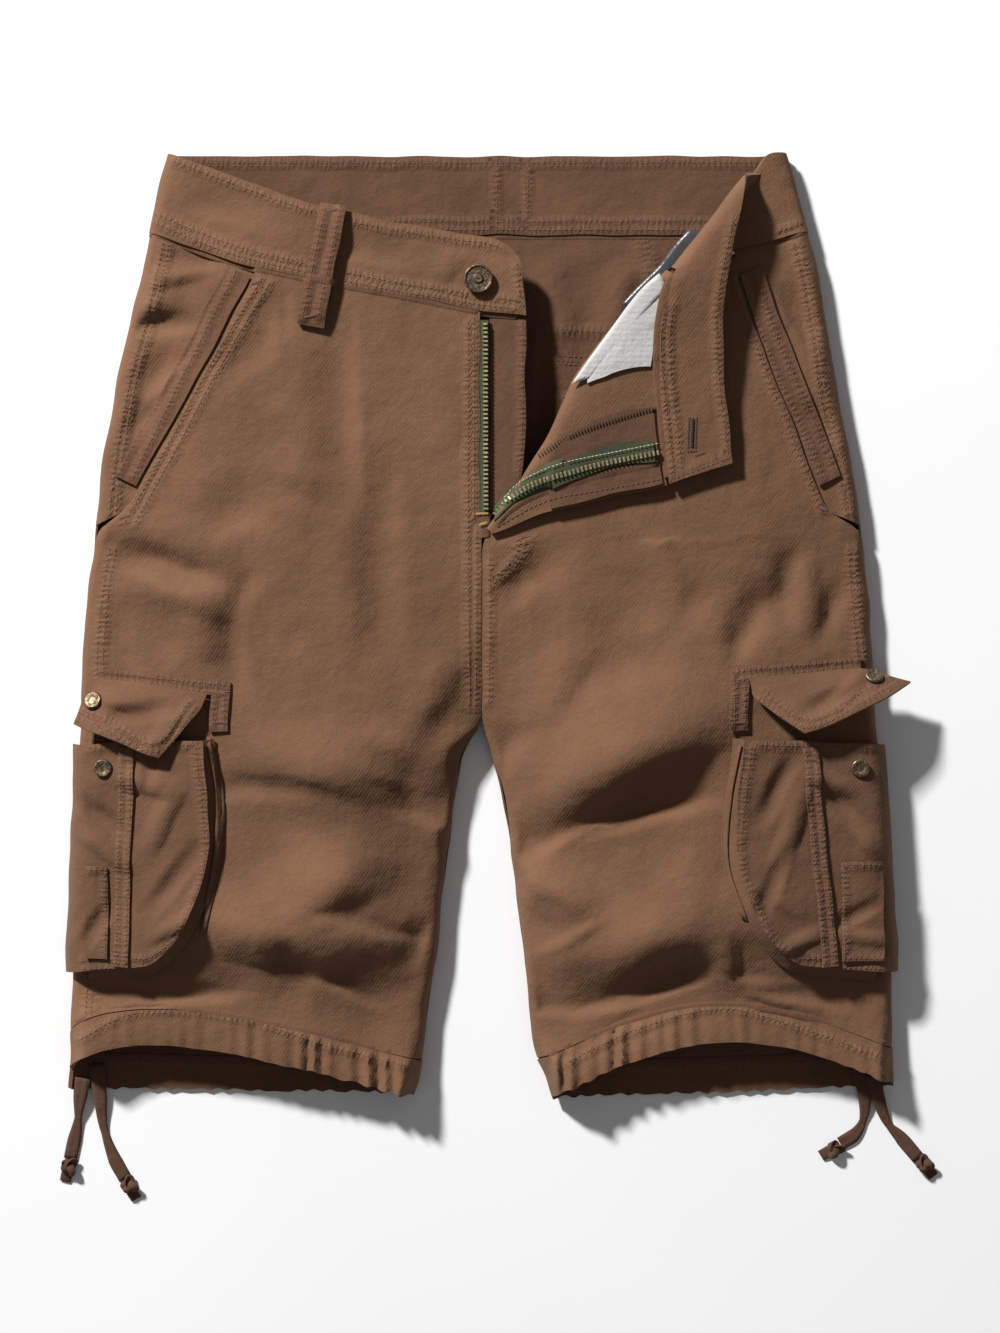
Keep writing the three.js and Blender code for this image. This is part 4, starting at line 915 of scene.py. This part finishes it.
class Builder:
    """Collects many small shapes into one mesh."""

    def __init__(self):
        self.verts = []
        self.faces = []

    def lozenge(self, place, along, normal, length, radius):
        """A stitch: a short thread that rises out of the cloth and dips back."""
        side = normal.cross(along).normalized()
        start = len(self.verts)
        for share, thick, rise in ((-0.5, 0.45, -0.6), (-0.22, 1, 0.25), (0.22, 1, 0.25), (0.5, 0.45, -0.6)):
            centre = place + along * share * length + normal * rise * radius
            for turn in range(6):
                angle = math.pi * turn / 3
                offset = side * math.cos(angle) + normal * math.sin(angle)
                self.verts.append(centre + offset * radius * thick)
        for ring in range(3):
            for turn in range(6):
                a = start + ring * 6 + turn
                b = start + ring * 6 + (turn + 1) % 6
                self.faces.append((a, b, b + 6, a + 6))
        self.faces.append(tuple(start + 5 - turn for turn in range(6)))
        self.faces.append(tuple(start + 18 + turn for turn in range(6)))

    def block(self, place, along, side, normal, size):
        """A small box with its three half sizes along the given directions."""
        start = len(self.verts)
        for a, b, c in ((-1, -1, -1), (1, -1, -1), (1, 1, -1), (-1, 1, -1),
                        (-1, -1, 1), (1, -1, 1), (1, 1, 1), (-1, 1, 1)):
            taper = 0.75 if c > 0 else 1
            self.verts.append(place + along * a * size[0] * taper + side * b * size[1] * taper
                              + normal * c * size[2])
        for face in ((3, 2, 1, 0), (4, 5, 6, 7), (0, 1, 5, 4), (1, 2, 6, 5), (2, 3, 7, 6), (3, 0, 4, 7)):
            self.faces.append(tuple(start + i for i in face))

    def make(self, name, look, slot, smooth=True):
        mesh = bpy.data.meshes.new(name)
        mesh.from_pydata(self.verts, [], self.faces)
        for face in mesh.polygons:
            face.use_smooth = smooth
        mesh.update()
        return finish_piece(name, mesh, look)


def sew(builder, piece, points, pitch=STITCH_PITCH, length=STITCH_LENGTH, radius=STITCH_RADIUS):
    for place, along in resample(points, pitch):
        hit, normal = land(piece, place.x, place.y)
        if hit is None:
            continue
        direction = Vector((along.x, along.y, 0))
        direction = (direction - normal * direction.dot(normal)).normalized()
        builder.lozenge(hit, direction, normal, length * MM, radius * MM)


def make_sewing():
    sewing = {}
    for piece, points in ROWS:
        sew(sewing.setdefault(piece, Builder()), piece, points)
    for piece, builder in sewing.items():
        if builder.verts:
            builder.make(f"stitches_{piece}", "brown_thread", "brown_trim")


make_sewing()


# Bartacks: dense short bars of thread
BARTACKS = [
    ("belt_loop", (-92, 245.5), (-85, 247)), ("belt_loop", (-105, 183), (-97.5, 184.5)),
    ("front_right", (-131, 205), (-137, 203)), ("front_right", (-210, 66), (-216, 64)),
    ("front_left", (147, 211), (153, 209)), ("front_left", (201, 70), (206, 69)),
    ("front_left", (14, 36), (20, 33)), ("waistband_left", (126, 101), (132, 103)),
    ("cargo_strap_right", (-206.5, -79), (-213.5, -79)), ("cargo_strap_left", (191, -79), (198.5, -79)),
    ("flap_tape_right", (-152, -57), (-160, -57)), ("flap_tape_left", (149, -57), (156.5, -57)),
    ("cargo_patch_left", (214, -142), (217, -142)), ("hem_front_left", (236, -262), (240, -270)),
]


def make_bartacks():
    builder = Builder()
    for piece, start, end in BARTACKS:
        a, b = Vector((*start, 0)), Vector((*end, 0))
        along = (b - a).normalized()
        side = Vector((-along.y, along.x, 0))
        for index in range(int((b - a).length / 0.45)):
            place = a + along * index * 0.45
            hit, normal = land(piece, place.x, place.y)
            if hit is not None:
                builder.lozenge(hit, side, normal, 2.4 * MM, 0.24 * MM)
    builder.make("bartacks", "brown_thread", "brown_trim")


make_bartacks()


# Ribbons: narrow strips that lie on the cloth between two given edges
RIBBONS = {
    # first edge, second edge, surface, lift at start and end, sink at the second edge, level, look, slot
    "zip_tape_end": ([(5, 68), (14, 78.5), (26, 88.2), (37, 95), (48, 99.4)],
                     [(7.5, 62), (16, 70), (26, 76), (36, 80.5), (48, 83.6)],
                     "bare", (0.4, 1.3), 0, False, "olive_zip_tape", "olive_zip_tape"),
    "placket_edge": ([(8.6, 60.8), (16.6, 70), (26.6, 77), (37.6, 82.2), (51.6, 86.4), (71.6, 91.8), (104, 98.6)],
                     [(9.6, 57.5), (18, 65.5), (28, 71.5), (39, 76), (53, 80.5), (73, 86), (105, 92.6)],
                     "bare", (0.7, 0.7), 1.7, False, "brown_inside", "brown_inside"),
    "gusset_fold_right": ([(-161.4, -64.8), (-153, -97.8), (-153.5, -133.8), (-163, -181.8)],
                          [(-163, -65.5), (-157.5, -98), (-158.5, -133.8), (-166.5, -182.5)],
                          "any", (1.6, 0.8), 0, False, "brown_trim", "brown_trim"),
    "gusset_fold_left": ([(152, -70), (143.5, -103.8), (142, -139.8), (153.5, -173)],
                         [(153.5, -70), (147.5, -103.8), (146, -139.8), (157, -174)],
                         "any", (1.6, 0.8), 0, False, "brown_trim", "brown_trim"),
    # painted shade: a strip of the pocket bag, coloured near black where its turned side lies in shade
    "bag_side_in_painted_shade": ([(89, 187.2), (101, 199.2), (111.5, 210.2), (122.5, 221.2), (131, 232.2)],
                    [(82.5, 190.4), (94, 202.5), (105.3, 213.5), (113.4, 224.5), (122.5, 234.6)],
                    "bare", (-3.6, -4.4), 0, True, "bag_side_painted_shade", "grey_pocket_bag"),
    "bag_edge": ([(64.4, 146.3), (71, 154.8), (80, 164.8), (91, 177.8), (101, 189.8), (109.6, 198.8)],
                 [(53, 143), (62, 156), (75.6, 174.6), (87.6, 191), (96, 200.6), (104.6, 208)],
                 "bare", (1.5, 1.5), 0, True, "grey_pocket_bag", "grey_pocket_bag"),
    "zip_foot": ([(-1.5, 68), (-1.5, 52)], [(5.4, 67), (5, 53)],
                 "any", (-0.3, -0.3), 0, True, "brown_inside", "brown_inside"),
}
RIBBON_STEPS = 24
RIBBON_ACROSS = 4
CLIMB = 0.45


def along_line(points, count):
    """That many points spread evenly along a smooth line."""
    route = smooth_route([(x, y, 0) for x, y in points], 12)
    total = length_of(route)
    spread = [place for place, _ in resample(points, total / (count - 1) * 0.9999)]
    return (spread + [route[-1]] * count)[:count]


def make_ribbon(name, first, second, surface, lift, sink, level, look, slot):
    mesh = bpy.data.meshes.new(name)
    shape = bmesh.new()
    one, two = along_line(first, RIBBON_STEPS), along_line(second, RIBBON_STEPS)
    grid = []
    height = 0.0
    for index, (a, b) in enumerate(zip(one, two)):
        row = []
        raised = lift[0] + (lift[1] - lift[0]) * index / (RIBBON_STEPS - 1)
        for step in range(RIBBON_ACROSS + 1):
            place = a.lerp(b, step / RIBBON_ACROSS)
            hit, _ = land(surface, place.x, place.y)
            if hit is not None and step == 0 and level and grid:
                height = min(max(height, hit.z), height + CLIMB * MM)
            elif hit is not None and not (step and level):
                height = hit.z
            crown = 0.25 * math.sin(math.pi * step / RIBBON_ACROSS)
            rise = raised * (1 - sink * step / RIBBON_ACROSS) + crown
            row.append(Vector(((place.x + SHIFT_X) * MM, place.y * MM, height + rise * MM)))
        grid.append(row)
    top = [[shape.verts.new(p) for p in row] for row in grid]
    low = [[shape.verts.new(p - Vector((0, 0, 0.4 * MM))) for p in row] for row in grid]
    rows, columns = len(grid) - 1, RIBBON_ACROSS
    for i in range(rows):
        for j in range(columns):
            shape.faces.new((top[i][j], top[i][j + 1], top[i + 1][j + 1], top[i + 1][j]))
            shape.faces.new((low[i][j], low[i + 1][j], low[i + 1][j + 1], low[i][j + 1]))
    for i in range(rows):
        shape.faces.new((top[i][0], top[i + 1][0], low[i + 1][0], low[i][0]))
        shape.faces.new((top[i][columns], low[i][columns], low[i + 1][columns], top[i + 1][columns]))
    for j in range(columns):
        shape.faces.new((top[0][j], low[0][j], low[0][j + 1], top[0][j + 1]))
        shape.faces.new((top[rows][j], top[rows][j + 1], low[rows][j + 1], low[rows][j]))
    bmesh.ops.recalc_face_normals(shape, faces=shape.faces)
    shape.to_mesh(mesh)
    shape.free()
    for face in mesh.polygons:
        face.use_smooth = True
    return finish_piece(name, mesh, look)


for ribbon_name, ribbon in RIBBONS.items():
    CLOTHS[ribbon_name] = make_ribbon(ribbon_name, *ribbon)
SURFACES["dressed"] = surface_of(CLOTHS)


# Zip teeth: a row at the right of the opening and one on the turned corner
TOOTH_PITCH = 2.55
TEETH = [
    ("zip_tape_right", [(2.2, 182), (2.4, 120), (2.6, 68)], 0.9),
    ("dressed", [(6.5, 64.5), (15, 74), (25, 81), (36, 86), (50, 90), (70, 95.5), (104, 102.5)], 0.7),
]
TOOTH_SIZE = (1.7, 0.75, 0.85)


def make_teeth():
    builder = Builder()
    for piece, points, lift in TEETH:
        for place, along in resample(points, TOOTH_PITCH):
            hit, normal = land(piece, place.x, place.y)
            if hit is None:
                continue
            direction = (along - normal * along.dot(normal)).normalized()
            side = normal.cross(direction).normalized()
            size = [part * MM for part in TOOTH_SIZE]
            builder.block(hit + normal * lift * MM, side, direction, normal, size)
    builder.make("zip_teeth", "teeth_brass", "antique_brass", smooth=False)


make_teeth()


# Fine sewing of the fly and the buttonhole
FINE_ROWS = [
    # look, points, pitch, length, radius, crosswise, lift
    ("pale_thread", [(14, 77), (26, 87), (38, 93), (52, 97.5), (74, 102), (104, 108)], 2.4, 1.9, 0.2, False, 1.0),
    ("dark_thread", [(34, 101), (50, 111), (70, 119), (96, 127), (103, 128)], 1.9, 3.8, 0.44, True, 0.4),
    ("brown_thread", [(10, 59.5), (38, 74), (71, 80.5), (106, 87)], 3.1, 2.3, 0.28, False, 0.1),
    ("dark_thread", [(122.6, 123), (122.2, 114), (122, 105)], 0.9, 1.8, 0.26, True, 0.0),
    ("dark_thread", [(127, 123), (126.6, 114), (126.4, 105)], 0.9, 1.8, 0.26, True, 0.0),
    ("dark_thread", [(122, 103), (127, 103.4)], 0.9, 2.4, 0.26, True, 0.0),
    # painted shade: near-black marks sunk in the buttonhole's cut, for the shade inside it
    ("slit_painted_shade", [(124.8, 122), (124.2, 106)], 0.8, 2.5, 0.8, True, -0.3),
    ("gold_thread", [(-3, 66.6), (4, 67)], 0.6, 1.8, 0.24, True, 0.6),
    ("gold_thread", [(-1, 60), (3.2, 61.5)], 0.6, 2.2, 0.24, True, 0.9),
]


def make_fine_sewing():
    found = {}
    for look, points, pitch, length, radius, crosswise, lift in FINE_ROWS:
        builder = found.setdefault(look, Builder())
        for place, along in resample(points, pitch):
            hit, normal = land("dressed", place.x, place.y)
            if hit is None:
                continue
            direction = Vector((-along.y, along.x, 0)) if crosswise else Vector((along.x, along.y, 0))
            direction = (direction - normal * direction.dot(normal)).normalized()
            builder.lozenge(hit + normal * lift * MM, direction, normal, length * MM, radius * MM)
    for look, builder in found.items():
        builder.make(f"fine_sewing_{look}", look, "brown_trim")


make_fine_sewing()


# Metal fasteners: the solids' own form, smoothed, with their edges kept
def smooth_metal(name):
    node = NODES[name]
    shape = bmesh.new()
    shape.from_mesh(node.data)
    bmesh.ops.remove_doubles(shape, verts=shape.verts, dist=0.004 * MM)
    mesh = bpy.data.meshes.new(name)
    shape.to_mesh(mesh)
    shape.free()
    made = finish_piece(f"{name}_metal", mesh, "antique_brass")
    soft = made.modifiers.new("rounding", "BEVEL")
    soft.width = 0.25 * MM
    soft.segments = 2
    soft.limit_method = "ANGLE"
    fine = made.modifiers.new("fine", "SUBSURF")
    fine.levels = 2
    fine.render_levels = 2
    for face in mesh.polygons:
        face.use_smooth = True
    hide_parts(name)


for name, slot in SLOT_OF.items():
    if slot == "antique_brass":
        smooth_metal(name)


# Floor and light
def make_floor():
    mesh = bpy.data.meshes.new("floor")
    half = 3.0
    mesh.from_pydata([(-half, -half, 0), (half, -half, 0), (half, half, 0), (-half, half, 0)], [], [(0, 1, 2, 3)])
    floor = bpy.data.objects.new("floor", mesh)
    bpy.context.scene.collection.objects.link(floor)
    graph = Graph("paper")
    tone = graph.ramp(graph.noise(3, 2), 0.3, 0.7, 0.0, 1.0)
    graph.join(graph.mix(tone, (0.86, 0.86, 0.86, 1), (0.88, 0.88, 0.88, 1)), graph.shader.inputs["Base Color"])
    graph.shader.inputs["Roughness"].default_value = 0.9
    mesh.materials.append(graph.material)
    return floor


def area_light(name, place, size, power):
    data = bpy.data.lights.new(name, "AREA")
    data.shape = "SQUARE"
    data.size = size
    data.energy = power
    light = bpy.data.objects.new(name, data)
    light.location = place
    light.rotation_mode = "QUATERNION"
    light.rotation_quaternion = (Vector((0, 0, 0)) - light.location).to_track_quat("-Z", "Y")
    bpy.context.scene.collection.objects.link(light)


def make_light():
    world = bpy.data.worlds.new("studio")
    world.use_nodes = True
    sky = world.node_tree.nodes["Background"]
    sky.inputs["Color"].default_value = (1, 1, 1, 1)
    sky.inputs["Strength"].default_value = 0.155
    bpy.context.scene.world = world
    area_light("key", (-3.1, 3.8, 3.05), 0.55, 620)
    area_light("fill", (0.9, -1.0, 2.4), 1.8, 2)
    bpy.context.scene.view_settings.view_transform = "Standard"


make_floor()
make_light()
